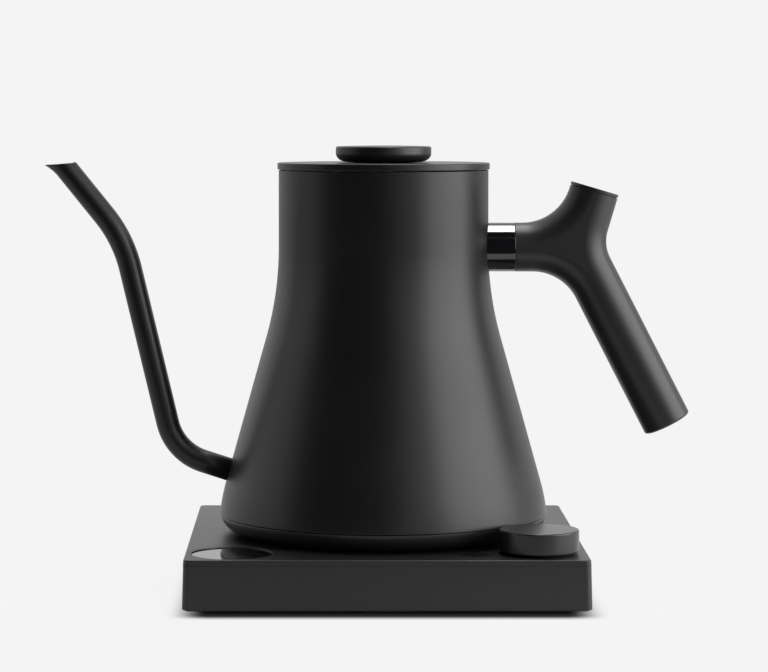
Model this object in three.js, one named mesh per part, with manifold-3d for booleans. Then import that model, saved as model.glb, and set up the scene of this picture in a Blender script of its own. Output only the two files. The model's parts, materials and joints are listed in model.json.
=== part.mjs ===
// Electric pour-over kettle with its square power base.
// Millimetres, +Z up. The feet stand on z = 0 and the origin is the middle of the footprint.
// The spout points to -X, the handle to +X, and the display and the knob face -Y.

import * as THREE from 'three';
import { mergeVertices } from 'three/addons/utils/BufferGeometryUtils.js';
import Module from 'manifold-3d';

const wasm = await Module();
wasm.setup();

// ---------------------------------------------------------------- driving dimensions

const FIT_GAP = 0.3;

// Power base
const BASE_SIDE = 172;
const BASE_HEIGHT = 21;
const BASE_DRAFT = 0.55;
const BASE_CORNER = 2.5;
const BASE_TOP_EDGE = 0.9;
const BASE_WALL = 2.4;
const FOOT_HEIGHT = 1.5;
const FOOT_RADIUS = 8;
const FOOT_INSET = 16;
const PLATE_THICKNESS = 2.5;
const BOSS_RADIUS = 3.6;
const SCREW_RADIUS = 1.5;
const SCREW_HEAD_RADIUS = 3.2;
const SCREW_HEAD_HEIGHT = 1.1;

// Controls on the base top
const DISPLAY_RADIUS = 17.1;
const DISPLAY_INSET = 20.4;
const BEZEL_WIDTH = 1.1;
const KNOB_RADIUS = 16.5;
const KNOB_HEIGHT = 9.3;
const KNOB_INSET = 21;
const KNOB_CLEARANCE = 1;
const KNOB_TRAVEL = 0.8;
const INDICATOR_RADIUS = 7;
const INDICATOR_DISH = 0.8;
const INDICATOR_X = 36.5;
const INDICATOR_INSET = 16.6;

// Cordless connector in the middle of the base
const SOCKET_RADIUS = 21;
const SOCKET_WALL = 2.6;
const SOCKET_DEPTH = 12.6;
const POST_RADIUS = 5.5;
const SHUTTER_THICKNESS = 1.8;

// Kettle body, measured from its own underside
const NECK_RADIUS = 46.65;
const NECK_FOOT = 127.2;
const BODY_TOP = 161.2;
const BODY_FOOT = 8.5;
const CONE_FOOT = 22.2;
const CONE_ANGLE = THREE.MathUtils.degToRad(15.6);
const SHOULDER_SWEEP = 149;
const FOOT_SWEEP = 85;
const BODY_WALL = 0.9;
const FLOOR_HEIGHT = 11;
const FLOOR_THICKNESS = 1;
const COVER_FLAT_RADIUS = 62;
const COVER_WALL = 2;
const PLUG_RADIUS = 17.7;

// Spout
const SPOUT_RADIUS = 5.1;
const SPOUT_WALL = 0.9;
const SPOUT_ROOT_HEIGHT = 27.4;
const SPOUT_ROOT_RISE = THREE.MathUtils.degToRad(17.8);
const SPOUT_LEAN = THREE.MathUtils.degToRad(13.4);
const SPOUT_TIP_LEAN = THREE.MathUtils.degToRad(39.3);
const SPOUT_LOWER_BEND = 22;
const SPOUT_UPPER_BEND = 90;
const SPOUT_STAND_OFF = 24.8;
const SPOUT_NECK_HEIGHT = 130.5;
const MOUTH_HEIGHT = 164;
const MOUTH_SLOPE = 0.123;
const LIP_REACH = 2;

// Handle
const HANDLE_RADIUS = 10.9;
const HANDLE_HEIGHT = 126.9;
const FERRULE_LENGTH = 11.7;
const ARM_LENGTH = 28;
const STUB_LENGTH = 27.4;
const STUB_LEAN = THREE.MathUtils.degToRad(16.5);
const GRIP_LENGTH = 88.6;
const GRIP_LEAN = THREE.MathUtils.degToRad(27.2);
const CROTCH_BLEND = 22;
const WAIST_BLEND = 16;
const CAP_THICKNESS = 2.2;
const STUD_RADIUS = 4;

// Lid
const LID_RADIUS = 47.2;
const LID_THICKNESS = 2.5;
const SKIRT_DEPTH = 11;
const SKIRT_WALL = 0.8;
const LID_KNOB_RADIUS = 21.25;
const LID_KNOB_FOOT_RADIUS = 16.2;
const LID_KNOB_HEIGHT = 6.9;

// ---------------------------------------------------------------- derived places

const BASE_TOP = FOOT_HEIGHT + BASE_HEIGHT;
const BASE_CEILING = BASE_TOP - BASE_WALL;
const PLATE_TOP = FOOT_HEIGHT + PLATE_THICKNESS;
const BASE_HALF = BASE_SIDE / 2;
const INNER_HALF = BASE_HALF - BASE_WALL;
const BOARD_THICKNESS = 1.6;
const BOARD_BOTTOM = PLATE_TOP + 5;
const BOARD_TOP = BOARD_BOTTOM + BOARD_THICKNESS;
const SEAT_HEIGHT = BASE_TOP + FIT_GAP;
const DISPLAY_X = -(BASE_HALF - DISPLAY_INSET);
const DISPLAY_Y = -(BASE_HALF - DISPLAY_INSET);
const KNOB_X = BASE_HALF - KNOB_INSET;
const KNOB_Y = -(BASE_HALF - KNOB_INSET);
const INDICATOR_Y = -(BASE_HALF - INDICATOR_INSET);
const SOCKET_FLOOR = BASE_TOP - SOCKET_DEPTH;
const BEZEL_RADIUS = DISPLAY_RADIUS + FIT_GAP + BEZEL_WIDTH;
const FLANGE_TOP = BASE_CEILING - FIT_GAP;
const FLANGE_BOTTOM = FLANGE_TOP - 1.6;
const ARM_START = NECK_RADIUS + FERRULE_LENGTH + FIT_GAP;
const JUNCTION_X = ARM_START + ARM_LENGTH - FIT_GAP;
const LID_BOTTOM = BODY_TOP + FIT_GAP;
const LID_TOP = LID_BOTTOM + LID_THICKNESS;
const INNER_NECK = NECK_RADIUS - BODY_WALL;
const SKIRT_RADIUS = INNER_NECK - 2.4;
const SKIRT_BOTTOM = BODY_TOP - SKIRT_DEPTH;

// ---------------------------------------------------------------- materials

function material(color, roughness, metalness) {
  return new THREE.MeshStandardMaterial({ color, roughness, metalness });
}

const MATTE_BLACK = material(0x1c1c1d, 0.62, 0);
const COATED_STEEL = material(0x161617, 0.5, 0.2);
const GLOSS_BLACK = material(0x08080a, 0.08, 0);
const BARE_STEEL = material(0xb4b6b8, 0.3, 1);
const ALUMINIUM = material(0xc4c6c8, 0.4, 1);
const BRASS = material(0xb9964a, 0.35, 1);
const RUBBER = material(0x141414, 0.9, 0);
const SILICONE = material(0x8d8f90, 0.7, 0);
const WHITE_PLASTIC = material(0xd9d8d2, 0.5, 0);
const BOARD_GREEN = material(0x1c4a2c, 0.55, 0);

// ---------------------------------------------------------------- solids

// Turns a closed geometry into a solid whose faces point out.
function solid(geometry) {
  const bare = geometry.clone();
  bare.deleteAttribute('normal');
  bare.deleteAttribute('uv');
  const merged = mergeVertices(bare, 1e-4);
  const points = merged.attributes.position.array;
  const corners = merged.index.array;
  const kept = [];
  let volume = 0;
  const [a, b, c] = [new THREE.Vector3(), new THREE.Vector3(), new THREE.Vector3()];
  for (let i = 0; i < corners.length; i += 3) {
    const [p, q, r] = corners.slice(i, i + 3);
    if (p !== q && q !== r && r !== p) {
      kept.push([p, q, r]);
      a.fromArray(points, 3 * p);
      b.fromArray(points, 3 * q);
      c.fromArray(points, 3 * r);
      volume += a.dot(b.cross(c));
    }
  }
  const triVerts = new Uint32Array(kept.flatMap((t) => (volume > 0 ? t : [t[0], t[2], t[1]])));
  const mesh = new wasm.Mesh({ numProp: 3, vertProperties: new Float32Array(points), triVerts });
  return new wasm.Manifold(mesh);
}

function geometryOf(body) {
  const mesh = body.getMesh();
  const geometry = new THREE.BufferGeometry();
  geometry.setAttribute('position', new THREE.BufferAttribute(mesh.vertProperties, 3));
  geometry.setIndex(new THREE.BufferAttribute(mesh.triVerts, 1));
  geometry.computeVertexNormals();
  return geometry;
}

function cut(body, ...tools) {
  return tools.reduce((left, tool) => left.subtract(tool), body);
}

function join(body, ...others) {
  return others.reduce((left, other) => left.add(other), body);
}

// A round bar from one point to another.
function rod(radius, from, to, sides = 16) {
  const start = new THREE.Vector3(...from);
  const end = new THREE.Vector3(...to);
  const along = end.clone().sub(start);
  const geometry = new THREE.CylinderGeometry(radius, radius, along.length(), sides);
  const turn = new THREE.Quaternion().setFromUnitVectors(new THREE.Vector3(0, 1, 0), along.normalize());
  geometry.applyQuaternion(turn);
  geometry.translate(...start.add(end).multiplyScalar(0.5).toArray());
  return solid(geometry);
}

function disc(radius, bottom, top, x = 0, y = 0, sides = 16) {
  return rod(radius, [x, y, bottom], [x, y, top], sides);
}

function block(low, high) {
  const size = high.map((value, axis) => value - low[axis]);
  const geometry = new THREE.BoxGeometry(...size);
  geometry.translate(...high.map((value, axis) => (value + low[axis]) / 2));
  return solid(geometry);
}

// A body turned about the Z axis from [radius, height] points.
function turned(profile, sides = 32) {
  const geometry = new THREE.LatheGeometry(profile.map(([r, z]) => new THREE.Vector2(r, z)), sides);
  geometry.rotateX(Math.PI / 2);
  return solid(geometry);
}

// A turned ring of rectangular section.
function ring(inner, outer, bottom, top, sides = 24) {
  return turned([[inner, bottom], [outer, bottom], [outer, top], [inner, top], [inner, bottom]], sides);
}

// Points on an arc in a plane, from one angle to another, ends included.
function arc(centre, radius, start, end, steps) {
  return Array.from({ length: steps + 1 }, (_, i) => {
    const angle = start + ((end - start) * i) / steps;
    return [centre[0] + radius * Math.cos(angle), centre[1] + radius * Math.sin(angle)];
  });
}

// A closed body through rings of equally many points.
function loft(rings, flatten) {
  const clockwise = THREE.ShapeUtils.isClockWise(rings[0].map(flatten));
  const loops = clockwise ? rings.map((loop) => [...loop].reverse()) : rings;
  const count = loops[0].length;
  const last = (loops.length - 1) * count;
  const index = [];
  for (let level = 0; level < last; level += count) {
    for (let i = 0; i < count; i += 1) {
      const here = level + i;
      const next = level + ((i + 1) % count);
      index.push(here, next, next + count, here, next + count, here + count);
    }
  }
  for (const [a, b, c] of THREE.ShapeUtils.triangulateShape(loops[0].map(flatten), [])) {
    index.push(c, b, a);
    index.push(last + a, last + b, last + c);
  }
  const geometry = new THREE.BufferGeometry().setFromPoints(loops.flat());
  geometry.setIndex(index);
  return solid(geometry);
}

// An upright block with round vertical edges through [height, half width, corner radius] levels.
function roundedBlock(levels) {
  const rings = levels.map(([z, half, radius]) => [0, 1, 2, 3].flatMap((quarter) => {
    const start = (quarter * Math.PI) / 2;
    const middle = start + Math.PI / 4;
    const reach = (half - radius) * Math.SQRT2;
    const centre = [reach * Math.cos(middle), reach * Math.sin(middle)];
    return arc(centre, radius, start, start + Math.PI / 2, 4)
      .map(([x, y]) => new THREE.Vector3(x, y, z));
  }));
  return loft(rings, (p) => new THREE.Vector2(p.x, p.y));
}

// ---------------------------------------------------------------- the scene graph

const kettleSet = new THREE.Group();
const base = new THREE.Group();
const kettle = new THREE.Group();
const lid = new THREE.Group();
kettle.position.z = SEAT_HEIGHT;
kettle.add(lid);
kettleSet.add(base, kettle);

function piece(group, name, body, look, place = [0, 0, 0]) {
  const mesh = new THREE.Mesh(geometryOf(body), look);
  mesh.name = name;
  mesh.position.set(...place);
  group.add(mesh);
}

// ---------------------------------------------------------------- power base

const FRONT_BACK = [-1, 1];
const bossPlaces = FRONT_BACK.flatMap((y) => [-20, 20].map((x) => [x, y * (INNER_HALF - 6)]));
const REAR_WALL = INNER_HALF - BASE_DRAFT;
const GLAND_X = 40;
const GLAND_HEIGHT = 12;
const GLAND_RADIUS = 5;
const GLAND_BORE = 3.2;
const SWITCH_X = -40;
const SWITCH_HEIGHT = 11.5;
const SWITCH_TRAVEL = 5;
const SLIDER_WIDTH = 5.4;
const SLIDER_HALF_HEIGHT = 1.3;

function makeHousing() {
  const draft = (z) => BASE_HALF - BASE_DRAFT * ((z - FOOT_HEIGHT) / BASE_HEIGHT);
  const edge = BASE_TOP - BASE_TOP_EDGE;
  const shell = cut(
    roundedBlock([
      [FOOT_HEIGHT, BASE_HALF, BASE_CORNER],
      [edge, draft(edge), BASE_CORNER],
      [edge + 0.7 * BASE_TOP_EDGE, draft(edge) - 0.3 * BASE_TOP_EDGE, BASE_CORNER],
      [BASE_TOP, draft(edge) - BASE_TOP_EDGE, BASE_CORNER - 0.5 * BASE_TOP_EDGE],
    ]),
    roundedBlock([[FOOT_HEIGHT - 1, INNER_HALF, 1.5], [BASE_CEILING, INNER_HALF - BASE_DRAFT, 1.5]]),
  );
  const bosses = bossPlaces.map(([x, y]) => cut(
    disc(BOSS_RADIUS, PLATE_TOP + FIT_GAP, BASE_CEILING + 0.5, x, y),
    disc(SCREW_RADIUS + FIT_GAP, PLATE_TOP, PLATE_TOP + 12, x, y),
  ));
  return cut(
    join(shell, ...bosses),
    disc(SOCKET_RADIUS + FIT_GAP, 0, BASE_TOP + 1, 0, 0, 36),
    disc(BEZEL_RADIUS + FIT_GAP, FLANGE_BOTTOM - FIT_GAP, BASE_TOP + 1, DISPLAY_X, DISPLAY_Y, 32),
    disc(INDICATOR_RADIUS + FIT_GAP, 0, BASE_TOP + 1, INDICATOR_X, INDICATOR_Y, 24),
    disc(5 + FIT_GAP, 0, BASE_TOP + 1, KNOB_X, KNOB_Y),
    rod(
      GLAND_RADIUS + FIT_GAP,
      [GLAND_X, REAR_WALL - 2, GLAND_HEIGHT],
      [GLAND_X, BASE_HALF + 1, GLAND_HEIGHT],
    ),
    block(
      [SWITCH_X - 0.5 * (SLIDER_WIDTH + SWITCH_TRAVEL) - FIT_GAP, REAR_WALL - 2,
        SWITCH_HEIGHT - SLIDER_HALF_HEIGHT - FIT_GAP],
      [SWITCH_X + 0.5 * (SLIDER_WIDTH + SWITCH_TRAVEL) + FIT_GAP, BASE_HALF + 1,
        SWITCH_HEIGHT + SLIDER_HALF_HEIGHT + FIT_GAP],
    ),
  );
}

const CONTROL_POSTS = [[-76, -52], [-30, -52], [30, -52], [76, -52]];
const POWER_POSTS = [[-62, 34], [4, 34], [-62, 66], [4, 66]];
const TERMINAL_POSTS = [[30, 52], [50, 52]];

function makeBottomPlate() {
  const plate = roundedBlock([
    [FOOT_HEIGHT, INNER_HALF - FIT_GAP, 1.2],
    [PLATE_TOP, INNER_HALF - FIT_GAP - 0.1, 1.2],
  ]);
  const posts = [...CONTROL_POSTS, ...POWER_POSTS, ...TERMINAL_POSTS]
    .map(([x, y]) => disc(2.5, PLATE_TOP - 0.5, BOARD_BOTTOM - FIT_GAP, x, y, 8));
  const holes = bossPlaces.flatMap(([x, y]) => [
    disc(SCREW_RADIUS + FIT_GAP, 0, PLATE_TOP + 1, x, y),
    disc(SCREW_HEAD_RADIUS + FIT_GAP, 0, FOOT_HEIGHT + SCREW_HEAD_HEIGHT + FIT_GAP, x, y),
  ]);
  return cut(join(plate, ...posts), ...holes);
}

// A screw whose head starts at the origin and whose shank points up.
function makeScrew(headRadius, headHeight, shankRadius, length) {
  return join(disc(headRadius, 0, headHeight, 0, 0, 16), disc(shankRadius, headHeight / 2, length, 0, 0, 12));
}

function makeGland() {
  const at = (y) => [GLAND_X, y, GLAND_HEIGHT];
  return cut(
    join(
      rod(GLAND_RADIUS, at(REAR_WALL - 8), at(BASE_HALF - 0.5)),
      rod(GLAND_RADIUS + 1.8, at(REAR_WALL - 3), at(REAR_WALL - FIT_GAP)),
    ),
    rod(GLAND_BORE, at(REAR_WALL - 9), at(BASE_HALF + 1)),
  );
}

function makeSwitchBody() {
  const reach = 0.5 * (SLIDER_WIDTH + SWITCH_TRAVEL);
  return cut(
    block(
      [SWITCH_X - 10, REAR_WALL - 8, PLATE_TOP + FIT_GAP],
      [SWITCH_X + 10, REAR_WALL - FIT_GAP, SWITCH_HEIGHT + 4],
    ),
    block(
      [SWITCH_X - reach - FIT_GAP, REAR_WALL - 4, SWITCH_HEIGHT - SLIDER_HALF_HEIGHT - FIT_GAP],
      [SWITCH_X + reach + FIT_GAP, REAR_WALL + 1, SWITCH_HEIGHT + SLIDER_HALF_HEIGHT + FIT_GAP],
    ),
  );
}

function makeSlider() {
  const left = SWITCH_X - 0.5 * (SLIDER_WIDTH + SWITCH_TRAVEL);
  return block(
    [left, REAR_WALL - 4 + FIT_GAP, SWITCH_HEIGHT - SLIDER_HALF_HEIGHT],
    [left + SLIDER_WIDTH, BASE_HALF + 0.4, SWITCH_HEIGHT + SLIDER_HALF_HEIGHT],
  );
}

function makeControlBoard() {
  const board = block([-80, -80, BOARD_BOTTOM], [80, -47, BOARD_TOP]);
  const notches = bossPlaces.filter(([, y]) => y < 0)
    .map(([x, y]) => disc(BOSS_RADIUS + 1, BOARD_BOTTOM - 1, BOARD_TOP + 1, x, y));
  return cut(board, ...notches);
}

const LENS_BOTTOM = BASE_TOP - 1.3;

function makeBezel() {
  const open = DISPLAY_RADIUS - 2;
  const seat = DISPLAY_RADIUS + FIT_GAP;
  const ledge = LENS_BOTTOM - FIT_GAP;
  return turned([
    [open, FLANGE_BOTTOM], [BEZEL_RADIUS, FLANGE_BOTTOM], [BEZEL_RADIUS, BASE_TOP], [seat, BASE_TOP],
    [seat, ledge], [open, ledge], [open, FLANGE_BOTTOM],
  ], 32);
}

function makeIndicator() {
  const flange = INDICATOR_RADIUS + 1.6;
  const dish = [0.67, 0.33, 0].map((t) => [
    INDICATOR_RADIUS * 0.96 * t, BASE_TOP - 0.1 - INDICATOR_DISH * (1 - t * t),
  ]);
  return turned([
    [0, FLANGE_BOTTOM], [flange, FLANGE_BOTTOM], [flange, FLANGE_TOP], [INDICATOR_RADIUS, FLANGE_TOP],
    [INDICATOR_RADIUS, BASE_TOP - 0.1], [INDICATOR_RADIUS * 0.96, BASE_TOP - 0.1], ...dish,
  ], 24);
}

const BUSHING_TOP = BASE_TOP - 1;
const PLUNGER_OUTER = 3.6;
const SHAFT_RADIUS = 2;
const KNOB_BOTTOM = BASE_TOP + KNOB_CLEARANCE;
const SHAFT_TOP = KNOB_BOTTOM + KNOB_HEIGHT - 2.8;
const WELL_FLOOR = BOARD_TOP + 2;
const SHAFT_FOOT = WELL_FLOOR + KNOB_TRAVEL + FIT_GAP;

function makeEncoder() {
  return cut(
    join(
      block([KNOB_X - 7, KNOB_Y - 7, BOARD_TOP + FIT_GAP], [KNOB_X + 7, KNOB_Y + 7, BASE_CEILING - 2.5]),
      disc(5, BASE_CEILING - 3, BUSHING_TOP, KNOB_X, KNOB_Y),
    ),
    disc(PLUNGER_OUTER + FIT_GAP, WELL_FLOOR, BUSHING_TOP + 1, KNOB_X, KNOB_Y),
  );
}

const knobTurn = new THREE.Group();
knobTurn.position.set(KNOB_X, KNOB_Y, 0);
base.add(knobTurn);

function makeKnob() {
  const top = KNOB_BOTTOM + KNOB_HEIGHT;
  const hollow = top - 3;
  const bore = SHAFT_RADIUS + FIT_GAP;
  return turned([
    [bore, KNOB_BOTTOM + 0.4], [5, KNOB_BOTTOM + 0.4], [5, hollow], [KNOB_RADIUS - 1.8, hollow],
    [KNOB_RADIUS - 1.8, KNOB_BOTTOM], [KNOB_RADIUS - 0.2, KNOB_BOTTOM], [KNOB_RADIUS, KNOB_BOTTOM + 0.3],
    [KNOB_RADIUS, top - 0.8], [KNOB_RADIUS - 0.25, top - 0.25], [KNOB_RADIUS - 0.8, top],
    [0, top], [0, SHAFT_TOP + FIT_GAP], [bore, SHAFT_TOP + FIT_GAP], [bore, KNOB_BOTTOM + 0.4],
  ], 32);
}

function makeSocket() {
  const wall = SOCKET_RADIUS - SOCKET_WALL;
  const postBore = POST_RADIUS - 1.4;
  const top = BASE_TOP - 0.2;
  const floor = SOCKET_FLOOR - 0.3;
  return turned([
    [0, PLATE_TOP + FIT_GAP], [SOCKET_RADIUS, PLATE_TOP + FIT_GAP], [SOCKET_RADIUS, top], [wall, top],
    [wall, floor], [POST_RADIUS, floor], [POST_RADIUS, top - 1.5], [postBore, top - 1.5],
    [postBore, floor], [0, floor],
  ], 32);
}

piece(base, 'base_housing', makeHousing(), MATTE_BLACK);
piece(base, 'base_bottom_plate', makeBottomPlate(), MATTE_BLACK);
const footReach = BASE_HALF - FOOT_INSET;
const cornerSigns = [[-1, -1], [1, -1], [1, 1], [-1, 1]];
cornerSigns.forEach(([x, y], i) => {
  const foot = turned([[0, 0], [FOOT_RADIUS - 0.4, 0], [FOOT_RADIUS, 0.4], [FOOT_RADIUS, FOOT_HEIGHT],
    [0, FOOT_HEIGHT]], 24);
  piece(base, `base_foot_${i + 1}`, foot, RUBBER, [x * footReach, y * footReach, 0]);
});
bossPlaces.forEach(([x, y], i) => {
  const screw = makeScrew(SCREW_HEAD_RADIUS, SCREW_HEAD_HEIGHT, SCREW_RADIUS, 11);
  piece(base, `base_screw_${i + 1}`, screw, BARE_STEEL, [x, y, FOOT_HEIGHT]);
});
piece(base, 'cord_gland', makeGland(), RUBBER);
piece(base, 'hold_switch_body', makeSwitchBody(), MATTE_BLACK);
piece(base, 'hold_switch_slider', makeSlider(), MATTE_BLACK);
piece(base, 'control_board', makeControlBoard(), BOARD_GREEN);
piece(base, 'power_board', block([-68, 28, BOARD_BOTTOM], [10, 72, BOARD_TOP]), BOARD_GREEN);
piece(base, 'transformer', block([-62, 36, BOARD_TOP + FIT_GAP], [-38, 58, BASE_CEILING - 1]), WHITE_PLASTIC);
piece(base, 'relay', block([-22, 38, BOARD_TOP + FIT_GAP], [-3, 53, BASE_CEILING - 2]), MATTE_BLACK);
piece(base, 'terminal_block', block([27, 46, BOARD_BOTTOM], [53, 58, BOARD_TOP + 6]), WHITE_PLASTIC);
piece(base, 'display_bezel', makeBezel(), MATTE_BLACK, [DISPLAY_X, DISPLAY_Y, 0]);
piece(base, 'display_lens', disc(DISPLAY_RADIUS, LENS_BOTTOM, BASE_TOP - 0.1, 0, 0, 32), GLOSS_BLACK,
  [DISPLAY_X, DISPLAY_Y, 0]);
piece(base, 'display_module', block([-12, -12, BOARD_TOP + FIT_GAP], [12, 12, FLANGE_BOTTOM - FIT_GAP]),
  WHITE_PLASTIC, [DISPLAY_X, DISPLAY_Y, 0]);
piece(base, 'indicator_lens', makeIndicator(), GLOSS_BLACK, [INDICATOR_X, INDICATOR_Y, 0]);
piece(base, 'encoder_body', makeEncoder(), MATTE_BLACK);
piece(knobTurn, 'encoder_plunger', ring(SHAFT_RADIUS + FIT_GAP, PLUNGER_OUTER, SHAFT_FOOT, KNOB_BOTTOM, 20),
  WHITE_PLASTIC);
piece(knobTurn, 'knob_shaft', disc(SHAFT_RADIUS, SHAFT_FOOT, SHAFT_TOP), BARE_STEEL);
piece(knobTurn, 'control_knob', makeKnob(), MATTE_BLACK);
piece(base, 'base_connector', makeSocket(), MATTE_BLACK);
piece(base, 'base_centre_pin', disc(1.6, SOCKET_FLOOR, BASE_TOP - 4, 0, 0, 16), BRASS);
piece(base, 'base_contact_ring', ring(POST_RADIUS + FIT_GAP, POST_RADIUS + 1.1, SOCKET_FLOOR, BASE_TOP - 4),
  BRASS);
piece(base, 'connector_shutter', ring(POST_RADIUS + 1.6, SOCKET_RADIUS - SOCKET_WALL - 0.4, SOCKET_FLOOR,
  SOCKET_FLOOR + SHUTTER_THICKNESS, 28), MATTE_BLACK);

// ---------------------------------------------------------------- kettle body

const FOOT_CENTRE_RADIUS = NECK_RADIUS + SHOULDER_SWEEP * (1 - Math.cos(CONE_ANGLE))
  + (NECK_FOOT - SHOULDER_SWEEP * Math.sin(CONE_ANGLE) - CONE_FOOT) * Math.tan(CONE_ANGLE)
  - FOOT_SWEEP * Math.cos(CONE_ANGLE);
const FOOT_CENTRE_HEIGHT = CONE_FOOT - FOOT_SWEEP * Math.sin(CONE_ANGLE);

// The outside of the body from the foot up to the top edge: a soft foot, a cone, a shoulder and a neck.
function bodyOutline() {
  const footAngle = Math.asin((BODY_FOOT - FOOT_CENTRE_HEIGHT) / FOOT_SWEEP);
  const foot = arc([FOOT_CENTRE_RADIUS, FOOT_CENTRE_HEIGHT], FOOT_SWEEP, footAngle, CONE_ANGLE, 2);
  const shoulder = arc([NECK_RADIUS + SHOULDER_SWEEP, NECK_FOOT], SHOULDER_SWEEP,
    Math.PI + CONE_ANGLE, Math.PI, 4);
  return [...foot, ...shoulder, [NECK_RADIUS, BODY_TOP]];
}

const BODY_SIDES = 40;
const FOOT_RADIUS_OUTSIDE = bodyOutline()[0][0];

// The filled body, grown by a clearance, that trims whatever meets its wall.
function bodyEnvelope(clearance) {
  const outline = bodyOutline().map(([r, z]) => [r + clearance, z]);
  return turned([[0, BODY_FOOT], ...outline, [0, BODY_TOP]], BODY_SIDES);
}

function makeBodyShell() {
  const outline = bodyOutline();
  const inside = outline.map(([r, z]) => [r - BODY_WALL, z]).reverse();
  return turned([...outline, ...inside, outline[0]], BODY_SIDES);
}

const COVER_RIM = BODY_FOOT - FIT_GAP;
const COVER_RIM_RADIUS = FOOT_RADIUS_OUTSIDE - 0.5;
const COVER_OPENING = PLUG_RADIUS + 0.8;
const coverScrewPlaces = [0, 1, 2].map((i) => {
  const angle = Math.PI / 2 + (i * 2 * Math.PI) / 3;
  return [54 * Math.cos(angle), 54 * Math.sin(angle)];
});

function makeCover() {
  const belly = (shrink) => [0, 1, 2, 3].map((i) => {
    const angle = -Math.PI / 2 + (i * Math.PI) / 6;
    return [
      COVER_FLAT_RADIUS + (COVER_RIM_RADIUS - COVER_FLAT_RADIUS - shrink) * Math.cos(angle),
      COVER_RIM + (COVER_RIM - shrink) * Math.sin(angle),
    ];
  });
  const cover = turned([
    [COVER_OPENING, 0], ...belly(0), ...belly(COVER_WALL).reverse(), [COVER_OPENING, COVER_WALL],
    [COVER_OPENING, 0],
  ], BODY_SIDES);
  const holes = coverScrewPlaces.flatMap(([x, y]) => [
    disc(SCREW_RADIUS + FIT_GAP, -1, COVER_WALL + 1, x, y, 16),
    disc(SCREW_HEAD_RADIUS + FIT_GAP, -1, 1.2, x, y, 16),
  ]);
  return cut(cover, ...holes);
}

const probePlace = [22, -16];

function makeFloor() {
  const outer = FOOT_RADIUS_OUTSIDE - BODY_WALL - 0.6;
  const dish = turned([
    [0, FLOOR_HEIGHT], [outer - 1, FLOOR_HEIGHT], [outer - 1, BODY_FOOT + 0.4], [outer, BODY_FOOT + 0.4],
    [outer, FLOOR_HEIGHT + FLOOR_THICKNESS], [0, FLOOR_HEIGHT + FLOOR_THICKNESS],
  ], BODY_SIDES);
  const bosses = coverScrewPlaces
    .map(([x, y]) => disc(BOSS_RADIUS, COVER_WALL + FIT_GAP, FLOOR_HEIGHT + 0.5, x, y));
  const bores = coverScrewPlaces.map(([x, y]) => disc(SCREW_RADIUS + FIT_GAP, 0, FLOOR_HEIGHT - 1, x, y));
  return cut(join(dish, ...bosses), ...bores, disc(3 + FIT_GAP, 0, FLOOR_HEIGHT + 3, ...probePlace));
}

const ELEMENT_RADIUS = 38;
const ELEMENT_TUBE = 2.6;
const ELEMENT_HEIGHT = FLOOR_HEIGHT - 6.2;
const ELEMENT_GAP = THREE.MathUtils.degToRad(28);
const SPREADER_BOTTOM = ELEMENT_HEIGHT + ELEMENT_TUBE + FIT_GAP;

class ElementPath extends THREE.Curve {
  getPoint(t) {
    const angle = ELEMENT_GAP + t * 2 * (Math.PI - ELEMENT_GAP);
    const [x, y] = [ELEMENT_RADIUS * Math.cos(angle), ELEMENT_RADIUS * Math.sin(angle)];
    return new THREE.Vector3(x, y, ELEMENT_HEIGHT);
  }
}

function circleShape(radius, sides) {
  return new THREE.Shape(arc([0, 0], radius, 0, 2 * Math.PI * (1 - 1 / sides), sides - 1)
    .map(([x, y]) => new THREE.Vector2(x, y)));
}

function makeElement() {
  const options = { extrudePath: new ElementPath(), steps: 24, bevelEnabled: false };
  return solid(new THREE.ExtrudeGeometry(circleShape(ELEMENT_TUBE, 8), options));
}

function makeTerminal(side) {
  const path = new ElementPath();
  const end = path.getPoint(side > 0 ? 0 : 1);
  const away = path.getTangent(side > 0 ? 0 : 1).multiplyScalar(side > 0 ? -1 : 1);
  const from = end.clone().addScaledVector(away, FIT_GAP);
  const to = end.clone().addScaledVector(away, 9);
  return rod(1.2, from.toArray(), to.toArray(), 10);
}

function makePlug() {
  const bottom = -(SOCKET_DEPTH - SHUTTER_THICKNESS);
  const bore = POST_RADIUS + 1.7;
  const top = COVER_WALL + FIT_GAP;
  return turned([
    [bore, bottom], [PLUG_RADIUS - 0.6, bottom], [PLUG_RADIUS, bottom + 0.6], [PLUG_RADIUS, top], [24, top],
    [24, top + 1.8], [0, top + 1.8], [0, top], [bore, top], [bore, bottom],
  ], 32);
}

const spreader = cut(
  disc(48, SPREADER_BOTTOM, FLOOR_HEIGHT - FIT_GAP, 0, 0, 32),
  disc(3 + FIT_GAP, 0, FLOOR_HEIGHT + 3, ...probePlace),
);
piece(kettle, 'kettle_floor', makeFloor(), BARE_STEEL);
piece(kettle, 'underside_cover', makeCover(), MATTE_BLACK);
coverScrewPlaces.forEach(([x, y], i) => {
  const screw = makeScrew(SCREW_HEAD_RADIUS, 0.8, SCREW_RADIUS, 8);
  piece(kettle, `cover_screw_${i + 1}`, screw, BARE_STEEL, [x, y, 0.2]);
});
piece(kettle, 'heat_spreader', spreader, ALUMINIUM);
piece(kettle, 'heating_element', makeElement(), BARE_STEEL);
piece(kettle, 'element_terminal_1', makeTerminal(1), BRASS);
piece(kettle, 'element_terminal_2', makeTerminal(-1), BRASS);
piece(kettle, 'temperature_probe', disc(3, COVER_WALL + 2.5, FLOOR_HEIGHT + 3, ...probePlace), BARE_STEEL);
const cutoutTop = SPREADER_BOTTOM - FIT_GAP;
piece(kettle, 'boil_dry_cutout', disc(6, cutoutTop - 2.4, cutoutTop, -14, 18), BRASS);
piece(kettle, 'kettle_connector', makePlug(), MATTE_BLACK);
piece(kettle, 'kettle_contact_socket', ring(2.1, 3.4, -8, COVER_WALL, 20), BRASS);

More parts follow.
